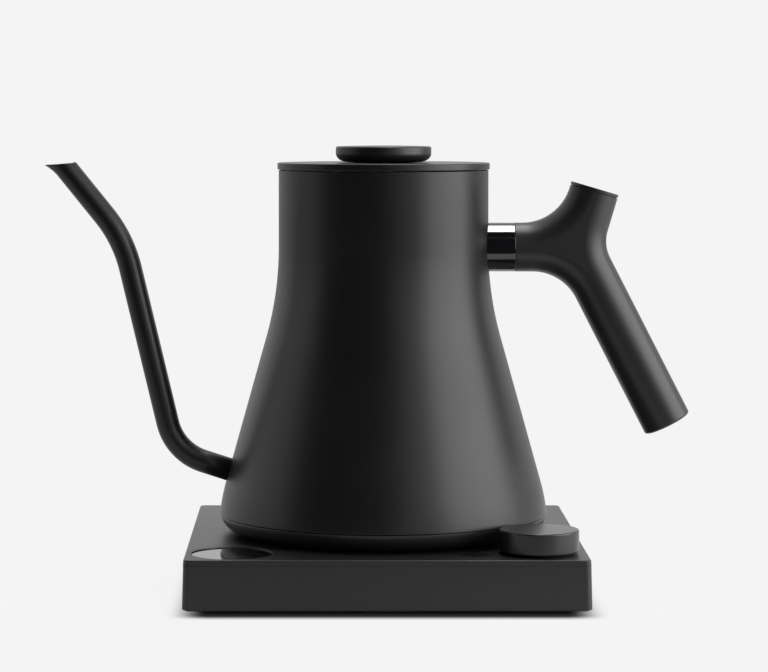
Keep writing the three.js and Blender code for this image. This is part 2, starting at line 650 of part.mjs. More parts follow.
// ---------------------------------------------------------------- spout

const coneRadius = (z) => FOOT_CENTRE_RADIUS + FOOT_SWEEP * Math.cos(CONE_ANGLE)
  - (z - CONE_FOOT) * Math.tan(CONE_ANGLE);
const SPOUT_SIDES = 14;

// Stations [x, z, heading] round one corner of a path that bends from one heading to the next.
function bend(corner, radius, before, after, steps) {
  const side = Math.sign(after - before);
  const tangent = radius * Math.tan(Math.abs(after - before) / 2);
  const start = [corner[0] - tangent * Math.cos(before), corner[1] - tangent * Math.sin(before)];
  const centre = [start[0] - side * radius * Math.sin(before), start[1] + side * radius * Math.cos(before)];
  return Array.from({ length: steps + 1 }, (_, i) => {
    const heading = before + ((after - before) * i) / steps;
    return [
      centre[0] + side * radius * Math.sin(heading),
      centre[1] - side * radius * Math.cos(heading),
      heading,
    ];
  });
}

const rootHeading = Math.PI - SPOUT_ROOT_RISE;
const stemHeading = Math.PI / 2 + SPOUT_LEAN;
const tipHeading = Math.PI / 2 + SPOUT_TIP_LEAN;
const spoutRoot = [-coneRadius(SPOUT_ROOT_HEIGHT), SPOUT_ROOT_HEIGHT];
const elbow = [
  spoutRoot[0] - SPOUT_STAND_OFF,
  SPOUT_ROOT_HEIGHT + SPOUT_STAND_OFF * Math.tan(SPOUT_ROOT_RISE),
];
const crook = [elbow[0] - (SPOUT_NECK_HEIGHT - elbow[1]) * Math.tan(SPOUT_LEAN), SPOUT_NECK_HEIGHT];
const mouth = [crook[0] - (MOUTH_HEIGHT - crook[1]) * Math.tan(SPOUT_TIP_LEAN), MOUTH_HEIGHT];

function stationRing([x, z, heading], radius) {
  return Array.from({ length: SPOUT_SIDES }, (_, i) => {
    const angle = (2 * Math.PI * i) / SPOUT_SIDES;
    const out = radius * Math.cos(angle);
    const side = radius * Math.sin(angle);
    return new THREE.Vector3(x - out * Math.sin(heading), side, z + out * Math.cos(heading));
  });
}

// The tube's section cut by the sloping mouth plane, moved by a rise and stretched into the pouring lip.
function mouthRing(radius, rise, lip) {
  const [dx, dz] = [Math.cos(tipHeading), Math.sin(tipHeading)];
  return stationRing([mouth[0], mouth[1], tipHeading], radius).map((point, i) => {
    const slide = (mouth[1] - point.z + MOUTH_SLOPE * (point.x - mouth[0])) / (dz - MOUTH_SLOPE * dx);
    const outward = Math.max(0, Math.cos((2 * Math.PI * i) / SPOUT_SIDES));
    return new THREE.Vector3(
      point.x + (slide + rise) * dx - lip * outward ** 3,
      point.y,
      point.z + (slide + rise) * dz,
    );
  });
}

function spoutTube(radius, rootShift, rise) {
  const start = [
    spoutRoot[0] - rootShift * Math.cos(rootHeading),
    spoutRoot[1] - rootShift * Math.sin(rootHeading),
  ];
  const last = [mouth[0] - 11 * Math.cos(tipHeading), mouth[1] - 11 * Math.sin(tipHeading)];
  const stations = [
    [...start, rootHeading],
    ...bend(elbow, SPOUT_LOWER_BEND, rootHeading, stemHeading, 6),
    ...bend(crook, SPOUT_UPPER_BEND, stemHeading, tipHeading, 5),
    [...last, tipHeading],
  ];
  const rings = stations.map((station) => stationRing(station, radius));
  rings.push(mouthRing(radius, -4, 0), mouthRing(radius, rise, LIP_REACH));
  return loft(rings, (p) => new THREE.Vector2(p.y, p.z));
}

const spoutBore = spoutTube(SPOUT_RADIUS - SPOUT_WALL, 12, 0.01);
const spout = cut(spoutTube(SPOUT_RADIUS, 6, 0), spoutBore, bodyEnvelope(FIT_GAP));
piece(kettle, 'kettle_shell', cut(makeBodyShell(), spoutBore), COATED_STEEL);
piece(kettle, 'spout', spout, COATED_STEEL);
const spoutReach = -Math.min(...mouthRing(SPOUT_RADIUS, 0, LIP_REACH).map((point) => point.x));

// ---------------------------------------------------------------- handle

const junction = [JUNCTION_X, HANDLE_HEIGHT];
const branches = [
  { angle: Math.PI, reach: JUNCTION_X - ARM_START, blend: CROTCH_BLEND },
  { angle: Math.PI / 2 - STUB_LEAN, reach: STUB_LENGTH - CAP_THICKNESS - FIT_GAP, blend: WAIST_BLEND },
  { angle: GRIP_LEAN - Math.PI / 2, reach: GRIP_LENGTH, blend: CROTCH_BLEND },
];

// A place along a branch of the handle, as [x, 0, z].
function along(branch, distance) {
  return [
    junction[0] + distance * Math.cos(branch.angle), 0, junction[1] + distance * Math.sin(branch.angle),
  ];
}

// The handle's outline at one level, with its round edge drawn in by an inset.
function handleRing(inset, y) {
  const half = HANDLE_RADIUS - inset;
  return branches.flatMap((branch, i) => {
    const next = branches[(i + 1) % branches.length];
    const nextAngle = next.angle < branch.angle ? next.angle : next.angle - 2 * Math.PI;
    const middle = (branch.angle + nextAngle) / 2;
    const halfAngle = (branch.angle - nextAngle) / 2;
    const room = Math.min(branch.reach, next.reach) * Math.tan(halfAngle) - HANDLE_RADIUS;
    const blend = Math.min(branch.blend, room);
    const stretch = (HANDLE_RADIUS + blend) / Math.sin(halfAngle);
    const centre = [junction[0] + stretch * Math.cos(middle), junction[1] + stretch * Math.sin(middle)];
    const [x, , z] = along(branch, branch.reach);
    const side = [-half * Math.sin(branch.angle), half * Math.cos(branch.angle)];
    return [
      [x + side[0], z + side[1]],
      [x - side[0], z - side[1]],
      ...arc(centre, blend + inset, branch.angle + Math.PI / 2, nextAngle + 1.5 * Math.PI, 6),
    ];
  }).map(([x, z]) => new THREE.Vector3(x, y, z));
}

function makeHandleBlank() {
  const edge = THREE.MathUtils.degToRad(80);
  const levels = Array.from({ length: 9 }, (_, i) => edge * (i / 4 - 1));
  const rings = levels.map((angle) => handleRing(
    HANDLE_RADIUS * (1 - Math.cos(angle)), HANDLE_RADIUS * Math.sin(angle),
  ));
  return loft(rings, (p) => new THREE.Vector2(p.x, p.z));
}

const [arm, stub, grip] = branches;
const STUD_END = STUD_RADIUS + 0.5;
const SCREW_TIP = 5.6;
const CAP_SEAT = STUB_LENGTH - CAP_THICKNESS;
const CAP_BOSS = 3;
const WEIGHT_RADIUS = 6.2;
const WEIGHT_START = 28;
const END_PLUG_RADIUS = 8;
const END_PLUG_THICKNESS = 2;

const studTip = [junction[0] + STUD_END, 0, junction[1]];
const handleBody = cut(
  makeHandleBlank(),
  rod(STUD_RADIUS + FIT_GAP, along(arm, arm.reach + 1), [studTip[0] + FIT_GAP, 0, junction[1]]),
  rod(5, along(stub, 11.5), along(stub, STUB_LENGTH)),
  rod(3.8, along(stub, 0), along(stub, 12)),
  rod(WEIGHT_RADIUS + FIT_GAP, along(grip, WEIGHT_START), along(grip, GRIP_LENGTH + 1)),
  rod(
    END_PLUG_RADIUS + FIT_GAP,
    along(grip, GRIP_LENGTH - END_PLUG_THICKNESS - FIT_GAP),
    along(grip, GRIP_LENGTH + 1),
  ),
);
const ferrule = cut(
  rod(HANDLE_RADIUS, [NECK_RADIUS - 4, 0, junction[1]], [NECK_RADIUS + FERRULE_LENGTH, 0, junction[1]], 28),
  rod(STUD_RADIUS + FIT_GAP, [NECK_RADIUS - 6, 0, junction[1]], studTip),
  bodyEnvelope(FIT_GAP),
);
const stud = cut(rod(STUD_RADIUS, [NECK_RADIUS - 4, 0, junction[1]], studTip), bodyEnvelope(FIT_GAP));
piece(kettle, 'handle_ferrule', ferrule, GLOSS_BLACK);
piece(kettle, 'handle_stud', stud, BARE_STEEL);
piece(kettle, 'handle_body', handleBody, MATTE_BLACK);
piece(kettle, 'handle_screw', join(
  rod(3.5, along(stub, SCREW_TIP), along(stub, 12.5), 12),
  rod(4.6, along(stub, 12), along(stub, 15), 16),
), BARE_STEEL);
piece(kettle, 'handle_top_cap', join(
  rod(HANDLE_RADIUS, along(stub, CAP_SEAT), along(stub, STUB_LENGTH), 28),
  rod(5 - FIT_GAP, along(stub, CAP_SEAT - CAP_BOSS), along(stub, CAP_SEAT + 0.5)),
), MATTE_BLACK);
piece(kettle, 'handle_counterweight', rod(
  WEIGHT_RADIUS, along(grip, WEIGHT_START + FIT_GAP), along(grip, GRIP_LENGTH - END_PLUG_THICKNESS - FIT_GAP),
), BARE_STEEL);
piece(kettle, 'handle_end_plug', rod(
  END_PLUG_RADIUS, along(grip, GRIP_LENGTH - END_PLUG_THICKNESS), along(grip, GRIP_LENGTH), 28,
), MATTE_BLACK);
const gripReach = junction[0] + GRIP_LENGTH * Math.sin(GRIP_LEAN) + HANDLE_RADIUS * Math.cos(GRIP_LEAN);

// ---------------------------------------------------------------- lid

const LID_SCREW_RADIUS = 2;
const LID_HOLE = LID_SCREW_RADIUS + FIT_GAP;

function makeLidKnob() {
  const bottom = LID_TOP + FIT_GAP;
  const top = bottom + LID_KNOB_HEIGHT;
  const belly = [0, 1, 2, 3].map((i) => {
    const angle = -Math.PI / 2 + (i * Math.PI) / 6;
    return [
      LID_KNOB_FOOT_RADIUS + (LID_KNOB_RADIUS - LID_KNOB_FOOT_RADIUS) * Math.cos(angle),
      bottom + 3.9 * (1 + Math.sin(angle)),
    ];
  });
  return turned([
    [LID_HOLE, bottom], ...belly, ...arc([LID_KNOB_RADIUS - 0.8, top - 0.8], 0.8, 0, Math.PI / 2, 2),
    [0, top], [0, LID_TOP + 3.6], [LID_HOLE, LID_TOP + 3.6], [LID_HOLE, bottom],
  ], 32);
}

piece(lid, 'lid_disc', turned([
  [LID_HOLE, LID_BOTTOM], [LID_RADIUS, LID_BOTTOM], [LID_RADIUS, LID_TOP - 0.4], [LID_RADIUS - 0.4, LID_TOP],
  [LID_HOLE, LID_TOP], [LID_HOLE, LID_BOTTOM],
], BODY_SIDES), COATED_STEEL);
piece(lid, 'lid_skirt', turned([
  [LID_HOLE, SKIRT_BOTTOM], [SKIRT_RADIUS, SKIRT_BOTTOM], [SKIRT_RADIUS, BODY_TOP],
  [SKIRT_RADIUS - SKIRT_WALL, BODY_TOP], [SKIRT_RADIUS - SKIRT_WALL, SKIRT_BOTTOM + SKIRT_WALL],
  [LID_HOLE, SKIRT_BOTTOM + SKIRT_WALL], [LID_HOLE, SKIRT_BOTTOM],
], BODY_SIDES), BARE_STEEL);
piece(lid, 'lid_seal', ring(
  SKIRT_RADIUS + FIT_GAP, INNER_NECK - FIT_GAP, SKIRT_BOTTOM + 2, SKIRT_BOTTOM + 6, BODY_SIDES,
), SILICONE);
const spacerFoot = SKIRT_BOTTOM + SKIRT_WALL + FIT_GAP;
piece(lid, 'lid_spacer', ring(LID_HOLE, 5, spacerFoot, LID_BOTTOM - FIT_GAP, 16), BARE_STEEL);
piece(lid, 'lid_knob', makeLidKnob(), MATTE_BLACK);
piece(lid, 'lid_screw', makeScrew(4, 1.2, LID_SCREW_RADIUS, LID_TOP + 3.2 - SKIRT_BOTTOM + 1.5), BARE_STEEL,
  [0, 0, SKIRT_BOTTOM - 1.5]);

kettleSet.position.x = (spoutReach - gripReach) / 2;

export default kettleSet;
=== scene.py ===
import json
import math

import bmesh
import bpy
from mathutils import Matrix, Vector

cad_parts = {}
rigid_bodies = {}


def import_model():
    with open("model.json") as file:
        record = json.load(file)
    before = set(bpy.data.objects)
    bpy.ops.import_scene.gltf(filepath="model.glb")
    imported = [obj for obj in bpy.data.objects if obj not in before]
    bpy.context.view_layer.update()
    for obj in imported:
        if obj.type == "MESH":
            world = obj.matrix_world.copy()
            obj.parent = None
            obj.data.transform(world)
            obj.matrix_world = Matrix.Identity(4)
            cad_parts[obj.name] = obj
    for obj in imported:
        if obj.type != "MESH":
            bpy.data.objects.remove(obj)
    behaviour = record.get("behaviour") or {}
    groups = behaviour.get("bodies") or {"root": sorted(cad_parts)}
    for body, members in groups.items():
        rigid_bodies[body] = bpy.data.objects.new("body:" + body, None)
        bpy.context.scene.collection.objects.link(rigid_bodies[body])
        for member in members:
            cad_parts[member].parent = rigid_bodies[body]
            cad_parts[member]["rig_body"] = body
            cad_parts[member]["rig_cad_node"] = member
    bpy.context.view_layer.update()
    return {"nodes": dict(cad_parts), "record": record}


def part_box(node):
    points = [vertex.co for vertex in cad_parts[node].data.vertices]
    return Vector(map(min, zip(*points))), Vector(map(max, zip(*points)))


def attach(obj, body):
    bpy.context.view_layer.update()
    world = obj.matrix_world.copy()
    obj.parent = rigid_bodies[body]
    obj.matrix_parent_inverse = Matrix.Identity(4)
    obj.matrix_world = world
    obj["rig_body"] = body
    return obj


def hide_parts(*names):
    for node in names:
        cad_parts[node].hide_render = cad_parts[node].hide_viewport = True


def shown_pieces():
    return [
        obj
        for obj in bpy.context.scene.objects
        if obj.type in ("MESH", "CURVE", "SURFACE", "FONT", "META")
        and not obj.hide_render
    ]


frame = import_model()

MM = 0.001

# ------------------------------------------------------------------ sizes, in millimetres

BASE_SIDE = 172
BASE_DRAFT = 0.55
BASE_CORNER = 2.5
BASE_TOP_EDGE = 0.6
BASE_WALL = 2.4
FOOT_RADIUS = 8
FIT_GAP = 0.3

DISPLAY_RADIUS = 17.1
DISPLAY_INSET = 20.4
BEZEL_WIDTH = 1.1
BEZEL_DEPTH = 4.3
BEZEL_LEDGE = 1.6
LENS_SINK = 0.4
LENS_THICKNESS = 1.2
KNOB_RADIUS = 16.9
KNOB_HEIGHT = 9.3
KNOB_INSET = 21
KNOB_BORE = 2.3
ENCODER_HOLE = 5.3
INDICATOR_RADIUS = 7
INDICATOR_DISH = 0.8
INDICATOR_X = 36.5
INDICATOR_INSET = 16.6
SOCKET_RADIUS = 21
SOCKET_WALL = 2.6
POST_RADIUS = 5.5
GLAND_RADIUS = 5
GLAND_BORE = 3.2
SWITCH_TRAVEL = 5
PLUG_RADIUS = 17.7

NECK_RADIUS = 46.65
NECK_FOOT = 127.2
BODY_TOP = 161.2
BODY_FOOT = 8.5
CONE_FOOT = 22.2
CONE_ANGLE = math.radians(15.6)
SHOULDER_SWEEP = 149
FOOT_SWEEP = 85
BODY_WALL = 0.9
COVER_FLAT_RADIUS = 62
COVER_WALL = 2
COVER_SCREW_CIRCLE = 54
COVER_SCREW_HEAD = 3.2
FLOOR_HEIGHT = 11
FLOOR_THICKNESS = 1
PLUG_FLANGE = 24
BODY_SIDES = 160
SMOOTH_ANGLE = 32

SPOUT_RADIUS = 5.1
SPOUT_WALL = 0.9
SPOUT_ROOT_HEIGHT = 27.4
SPOUT_ROOT_RISE = math.radians(17.8)
SPOUT_LEAN = math.radians(13.4)
SPOUT_TIP_LEAN = math.radians(38.8)
SPOUT_LOWER_BEND = 24
SPOUT_UPPER_BEND = 60
SPOUT_STAND_OFF = 24.35
SPOUT_NECK_HEIGHT = 130.5
MOUTH_HEIGHT = 164
MOUTH_SLOPE = math.atan(0.085)
LIP_REACH = 2
LIP_RUN = 5

HANDLE_RADIUS = 10.9
HANDLE_HEIGHT = 126.9
FERRULE_LENGTH = 11.7
ARM_LENGTH = 28
STUB_LENGTH = 27.4
STUB_LEAN = math.radians(16.5)
GRIP_LENGTH = 88.6
GRIP_LEAN = math.radians(27.2)
CROTCH_BLEND = 22
WAIST_BLEND = 16
CAP_THICKNESS = 1.4
GRIP_END_EDGE = 1.1
END_PLUG_RADIUS = 8
END_PLUG_THICKNESS = 2
HANDLE_LEVELS = 18

LID_RADIUS = 47.2
LID_THICKNESS = 3.0
SKIRT_DEPTH = 11
LID_KNOB_RADIUS = 21.25
LID_KNOB_FOOT_RADIUS = 16.2
LID_KNOB_HEIGHT = 7.3
LID_KNOB_BELLY = 3.9
LID_KNOB_EDGE = 0.8
LID_KNOB_CROWN = 0.35
LID_BORE = 2.3
SKIRT_WALL = 0.8


def millimetres(value):
    return value / MM


# Places read from the frame.
low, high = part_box("base_housing")
AXIS_X = millimetres((low[0] + high[0]) / 2)
BASE_BOTTOM = millimetres(low[2])
BASE_TOP = millimetres(high[2])
BASE_HALF = BASE_SIDE / 2
SEAT = millimetres(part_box("underside_cover")[0][2])
SOCKET_FLOOR = millimetres(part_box("connector_shutter")[0][2])
LID_BOTTOM = BODY_TOP + FIT_GAP
LID_TOP = LID_BOTTOM + LID_THICKNESS
DISPLAY_PLACE = (-(BASE_HALF - DISPLAY_INSET), -(BASE_HALF - DISPLAY_INSET))
KNOB_PLACE = (BASE_HALF - KNOB_INSET, -(BASE_HALF - KNOB_INSET))
INDICATOR_PLACE = (INDICATOR_X, -(BASE_HALF - INDICATOR_INSET))


def box_span(node):
    """A node's box as two corners in millimetres, with x measured from the kettle's axis."""
    return [
        (millimetres(corner[0]) - AXIS_X, millimetres(corner[1]), millimetres(corner[2]))
        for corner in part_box(node)
    ]


def place(x, y, z):
    """A point in metres from millimetres measured from the kettle's upright axis."""
    return Vector(((x + AXIS_X) * MM, y * MM, z * MM))


# ------------------------------------------------------------------ modelling by hand

def deselect():
    if bpy.context.object and bpy.context.object.mode != "OBJECT":
        bpy.ops.object.mode_set(mode="OBJECT")
    bpy.ops.object.select_all(action="DESELECT")


def make_active(piece):
    deselect()
    piece.select_set(True)
    bpy.context.view_layer.objects.active = piece


def named(name):
    """Names the new object and works its place into its mesh."""
    piece = bpy.context.object
    piece.name = name
    piece.data.name = name
    bpy.ops.object.transform_apply(location=True, rotation=True, scale=True)
    return piece


def edit():
    bpy.ops.object.mode_set(mode="EDIT")


def finish_edit(piece, angle=SMOOTH_ANGLE):
    """Merges doubles, turns the faces outwards and smooths all but the sharp edges."""
    bpy.ops.mesh.select_all(action="SELECT")
    bpy.ops.mesh.remove_doubles(threshold=1e-6)
    bpy.ops.mesh.normals_make_consistent(inside=False)
    bpy.ops.object.mode_set(mode="OBJECT")
    bpy.ops.object.shade_smooth_by_angle(angle=math.radians(angle))
    return piece


def pick(piece, kind, test):
    """Selects the vertices, edges or faces whose middle and normal pass a test."""
    bpy.ops.mesh.select_mode(type={"verts": "VERT", "edges": "EDGE", "faces": "FACE"}[kind])
    bpy.ops.mesh.select_all(action="DESELECT")
    mesh = bmesh.from_edit_mesh(piece.data)
    for element in getattr(mesh, kind):
        if kind == "verts":
            chosen = test(element.co, element)
        elif kind == "edges":
            chosen = test((element.verts[0].co + element.verts[1].co) / 2, element)
        else:
            chosen = test(element.calc_center_median(), element)
        element.select_set(chosen)
    bmesh.update_edit_mesh(piece.data)


def apply_modifier(piece, kind, **settings):
    modifier = piece.modifiers.new(kind.lower(), kind)
    for key, value in settings.items():
        setattr(modifier, key, value)
    bpy.context.view_layer.objects.active = piece
    bpy.ops.object.modifier_apply(modifier=modifier.name)


def cut_with(piece, *tools):
    """Takes the tools' volume out of a piece and removes the tools."""
    for tool in tools:
        apply_modifier(piece, "BOOLEAN", operation="DIFFERENCE", solver="EXACT", object=tool)
        bpy.data.objects.remove(tool)


def arc(centre, radius, start, end, steps):
    """Points of an arc in a plane, ends included."""
    turn = (end - start) / steps
    return [
        (centre[0] + radius * math.cos(start + turn * i), centre[1] + radius * math.sin(start + turn * i))
        for i in range(steps + 1)
    ]


def eased(points, radius, steps=3):
    """A profile with each inner corner rounded off by a small arc."""
    result = [points[0]]
    for before, corner, after in zip(points, points[1:], points[2:]):
        a = Vector(before) - Vector(corner)
        b = Vector(after) - Vector(corner)
        reach = min(radius, 0.45 * a.length, 0.45 * b.length)
        start, end = Vector(corner) + a.normalized() * reach, Vector(corner) + b.normalized() * reach
        for i in range(steps + 1):
            t = i / steps
            point = start * (1 - t) ** 2 + Vector(corner) * 2 * t * (1 - t) + end * t ** 2
            result.append((point.x, point.y))
    result.append(points[-1])
    return result


def turned(name, profile, at=(0, 0), lift=0.0, sides=96, angle=SMOOTH_ANGLE):
    """A piece turned about an upright axis: a circle drawn up through (radius, height) rings.
    A profile that comes back to its first point makes a ring; any other gets flat ends."""
    deselect()
    centre = place(at[0], at[1], lift)
    looped = profile[0] == profile[-1]
    radius, height = profile[0]
    bpy.ops.mesh.primitive_circle_add(
        vertices=sides, radius=radius * MM, location=centre + Vector((0, 0, height * MM)),
        fill_type="NOTHING" if looped else "NGON",
    )
    piece = named(name)
    edit()
    bpy.ops.mesh.select_mode(type="EDGE")
    bpy.ops.mesh.select_all(action="SELECT")
    for (r0, z0), (r1, z1) in zip(profile, profile[1:]):
        bpy.ops.mesh.extrude_edges_move(TRANSFORM_OT_translate={"value": (0, 0, (z1 - z0) * MM)})
        scale = r1 / r0
        middle = centre + Vector((0, 0, z1 * MM))
        bpy.ops.transform.resize(value=(scale, scale, 1), center_override=middle)
    if not looped:
        bpy.ops.mesh.edge_face_add()
    return finish_edit(piece, angle)


def closed(points):
    return [*points, points[0]]


def rod(name, radius, start, end, sides=48):
    """A round bar between two points given in metres."""
    deselect()
    span = end - start
    turn = span.to_track_quat("Z", "Y").to_euler()
    bpy.ops.mesh.primitive_cylinder_add(
        vertices=sides, radius=radius * MM, depth=span.length, location=(start + end) / 2, rotation=turn,
    )
    return named(name)


def upright(name, radius, bottom, top, at=(0, 0), sides=64):
    return rod(name, radius, place(*at, bottom), place(*at, top), sides)


def box_piece(name, low_corner, high_corner):
    """A plain block between two corners in millimetres, to be shaped further or cut with."""
    deselect()
    start, end = place(*low_corner), place(*high_corner)
    bpy.ops.mesh.primitive_cube_add(size=1, location=(start + end) / 2)
    bpy.context.object.scale = end - start
    return named(name)


def bevel(piece, width, segments, angle=30):
    """Rounds every edge sharper than an angle."""
    apply_modifier(
        piece, "BEVEL", width=width * MM, segments=segments, limit_method="ANGLE",
        angle_limit=math.radians(angle), harden_normals=False,
    )
    make_active(piece)
    bpy.ops.object.shade_smooth_by_angle(angle=math.radians(SMOOTH_ANGLE))


# ------------------------------------------------------------------ power base

def make_housing():
    piece = box_piece(
        "housing", (-BASE_HALF, -BASE_HALF, BASE_BOTTOM), (BASE_HALF, BASE_HALF, BASE_TOP)
    )
    top_half = BASE_HALF - BASE_DRAFT
    edit()
    pick(piece, "faces", lambda middle, face: face.normal.z > 0.9)
    shrink = top_half / BASE_HALF
    bpy.ops.transform.resize(value=(shrink, shrink, 1), center_override=place(0, 0, BASE_TOP))
    upright_edges = lambda middle, edge: abs(edge.verts[0].co.z - edge.verts[1].co.z) > 10 * MM
    pick(piece, "edges", upright_edges)
    bpy.ops.mesh.bevel(offset=BASE_CORNER * MM, segments=8, affect="EDGES")
    rim_edges = lambda height: lambda middle, edge: all(
        abs(vert.co.z - height * MM) < 1e-5 for vert in edge.verts
    )
    pick(piece, "edges", rim_edges(BASE_TOP))
    bpy.ops.mesh.bevel(offset=BASE_TOP_EDGE * MM, segments=6, affect="EDGES")
    pick(piece, "edges", rim_edges(BASE_BOTTOM))
    bpy.ops.mesh.bevel(offset=0.35 * MM, segments=2, affect="EDGES")
    pick(piece, "faces", lambda middle, face: face.normal.z < -0.9)
    bpy.ops.mesh.inset(thickness=(BASE_WALL - 0.35) * MM)
    rise = BASE_TOP - BASE_WALL - BASE_BOTTOM
    bpy.ops.mesh.extrude_region_move(TRANSFORM_OT_translate={"value": (0, 0, rise * MM)})
    finish_edit(piece)
    above, below = BASE_TOP + 5, 10
    behind = BASE_HALF + 3
    display_hole_radius = DISPLAY_RADIUS + FIT_GAP + BEZEL_WIDTH + 0.1
    gland_x, gland_z = gland_middle()
    switch_low, switch_high = box_span("hold_switch_slider")
    wall = BASE_HALF - BASE_WALL - BASE_DRAFT - 1
    cut_with(
        piece,
        upright("socket_hole", SOCKET_RADIUS + 0.2, below, above, sides=128),
        upright("display_hole", display_hole_radius, BASE_TOP - 4.6, above, DISPLAY_PLACE, 128),
        upright("indicator_hole", INDICATOR_RADIUS + 0.1, below, above, INDICATOR_PLACE, 96),
        upright("encoder_hole", ENCODER_HOLE, below, above, KNOB_PLACE, 64),
        rod(
            "gland_hole", GLAND_RADIUS + 0.2,
            place(gland_x, wall, gland_z), place(gland_x, behind, gland_z), 64,
        ),
        box_piece(
            "switch_hole", (switch_low[0] - FIT_GAP, wall, switch_low[2] - FIT_GAP),
            (switch_high[0] + SWITCH_TRAVEL + FIT_GAP, behind, switch_high[2] + FIT_GAP),
        ),
    )
    return piece


def gland_middle():
    """The cord gland's axis as x and height."""
    start, end = box_span("cord_gland")
    return (start[0] + end[0]) / 2, (start[2] + end[2]) / 2


def make_foot(at):
    section = [(0.5, 0), (FOOT_RADIUS - 1.6, 0), (FOOT_RADIUS, 0), (FOOT_RADIUS, BASE_BOTTOM)]
    return turned("foot", eased(section, 0.6), at, sides=64)


def make_bezel():
    outer = DISPLAY_RADIUS + FIT_GAP + BEZEL_WIDTH
    seat = DISPLAY_RADIUS + 0.15
    low_edge = BASE_TOP - BEZEL_DEPTH
    ledge = BASE_TOP - BEZEL_LEDGE
    section = eased([
        (outer, low_edge), (outer, BASE_TOP), (seat, BASE_TOP), (seat, ledge), (DISPLAY_RADIUS - 2, ledge),
    ], 0.18)
    ring = closed([(DISPLAY_RADIUS - 2, low_edge), *section])
    return turned("display_rim", ring, DISPLAY_PLACE, sides=144)


def make_lens():
    face = BASE_TOP - LENS_SINK
    back = face - LENS_THICKNESS
    section = [(0.5, back), (DISPLAY_RADIUS, back), (DISPLAY_RADIUS, face), (0.5, face)]
    return turned("display_glass", eased(section, 0.15), DISPLAY_PLACE, sides=144)


def make_indicator():
    flange = INDICATOR_RADIUS + 1.6
    top = BASE_TOP - 0.06
    under = BASE_TOP - BASE_WALL - FIT_GAP
    rim = INDICATOR_RADIUS - 0.25
    shares = (1, 0.93, 0.85, 0.75, 0.6, 0.45, 0.3, 0.15, 0.05)
    dish = [(rim * t, top - INDICATOR_DISH * (1 - t * t)) for t in shares]
    profile = [
        (0.5, under - 1.6), (flange, under - 1.6), (flange, under), (INDICATOR_RADIUS, under),
        (INDICATOR_RADIUS, top - 0.1), (INDICATOR_RADIUS - 0.1, top), *dish,
    ]
    return turned("indicator_dish", profile, INDICATOR_PLACE, sides=96)


def make_knob():
    bottom = box_span("control_knob")[0][2]
    top = bottom + KNOB_HEIGHT
    hub, hub_foot, roof, inside = 5, bottom + 0.4, top - 3, KNOB_RADIUS - 1.8
    skin = eased([(inside, bottom), (KNOB_RADIUS, bottom), (KNOB_RADIUS, top), (1, top)], 0.75, 5)
    profile = [(KNOB_BORE, hub_foot), (hub, hub_foot), (hub, roof), (inside, roof), *skin, (0.5, top)]
    return turned("control_dial", profile, KNOB_PLACE, sides=144)


def make_socket():
    wall = SOCKET_RADIUS - SOCKET_WALL
    floor = SOCKET_FLOOR - 0.3
    top = BASE_TOP - 0.15
    post_bore = POST_RADIUS - 1.4
    post_top = top - 1.3
    bottom = box_span("base_connector")[0][2]
    profile = eased([
        (0.5, bottom), (SOCKET_RADIUS, bottom), (SOCKET_RADIUS, top), (wall, top), (wall, floor),
        (POST_RADIUS, floor), (POST_RADIUS, post_top), (post_bore, post_top), (post_bore, floor),
        (0.5, floor),
    ], 0.4)
    return turned("socket_body", profile, sides=96)


def make_centre_pin():
    top = BASE_TOP - 4
    section = [(0.2, SOCKET_FLOOR), (1.6, SOCKET_FLOOR), (1.6, top), (0.2, top)]
    return turned("centre_pin", eased(section, 0.8, 5), sides=32)


def make_ring(name, inner, outer, bottom, top, ease=0.2, sides=96):
    middle = (bottom + top) / 2
    section = eased([(inner, bottom), (outer, bottom), (outer, top), (inner, top), (inner, middle)], ease)
    return turned(name, closed([(inner, middle - 0.01), *section[:-1]]), sides=sides)


def make_gland():
    x, z = gland_middle()
    inside, outside = (corner[1] for corner in box_span("cord_gland"))
    piece = rod("gland_sleeve", GLAND_RADIUS, place(x, inside, z), place(x, outside, z), 64)
    cut_with(piece, rod("gland_bore", GLAND_BORE, place(x, inside - 2, z), place(x, outside + 2, z), 48))
    bevel(piece, 0.5, 3)
    return piece


def make_slider():
    start, end = box_span("hold_switch_slider")
    piece = box_piece("slider_nub", start, end)
    middle, face, height = (start[0] + end[0]) / 2, end[1], (start[2] + end[2]) / 2
    for step in (-1.4, 0, 1.4):
        low_corner = (middle + step - 0.25, face - 0.35, height - 5)
        high_corner = (middle + step + 0.25, face + 1, height + 5)
        cut_with(piece, box_piece("slider_groove", low_corner, high_corner))
    bevel(piece, 0.15, 2)
    return piece


def make_screw(name, at, head, bottom, head_height, length):
    profile = [
        (0.3, 0), (head, 0), (head, head_height), (1.5, head_height), (1.5, length), (0.3, length),
    ]
    piece = turned(name, eased(profile, 0.25), at, bottom, sides=48)
    slot = 0.45
    for long_x, long_y in ((head * 0.6, slot), (slot, head * 0.6)):
        recess = box_piece(
            "screw_recess", (at[0] - long_x, at[1] - long_y, bottom - 1),
            (at[0] + long_x, at[1] + long_y, bottom + 0.6),
        )
        cut_with(piece, recess)
    return piece


# ------------------------------------------------------------------ kettle

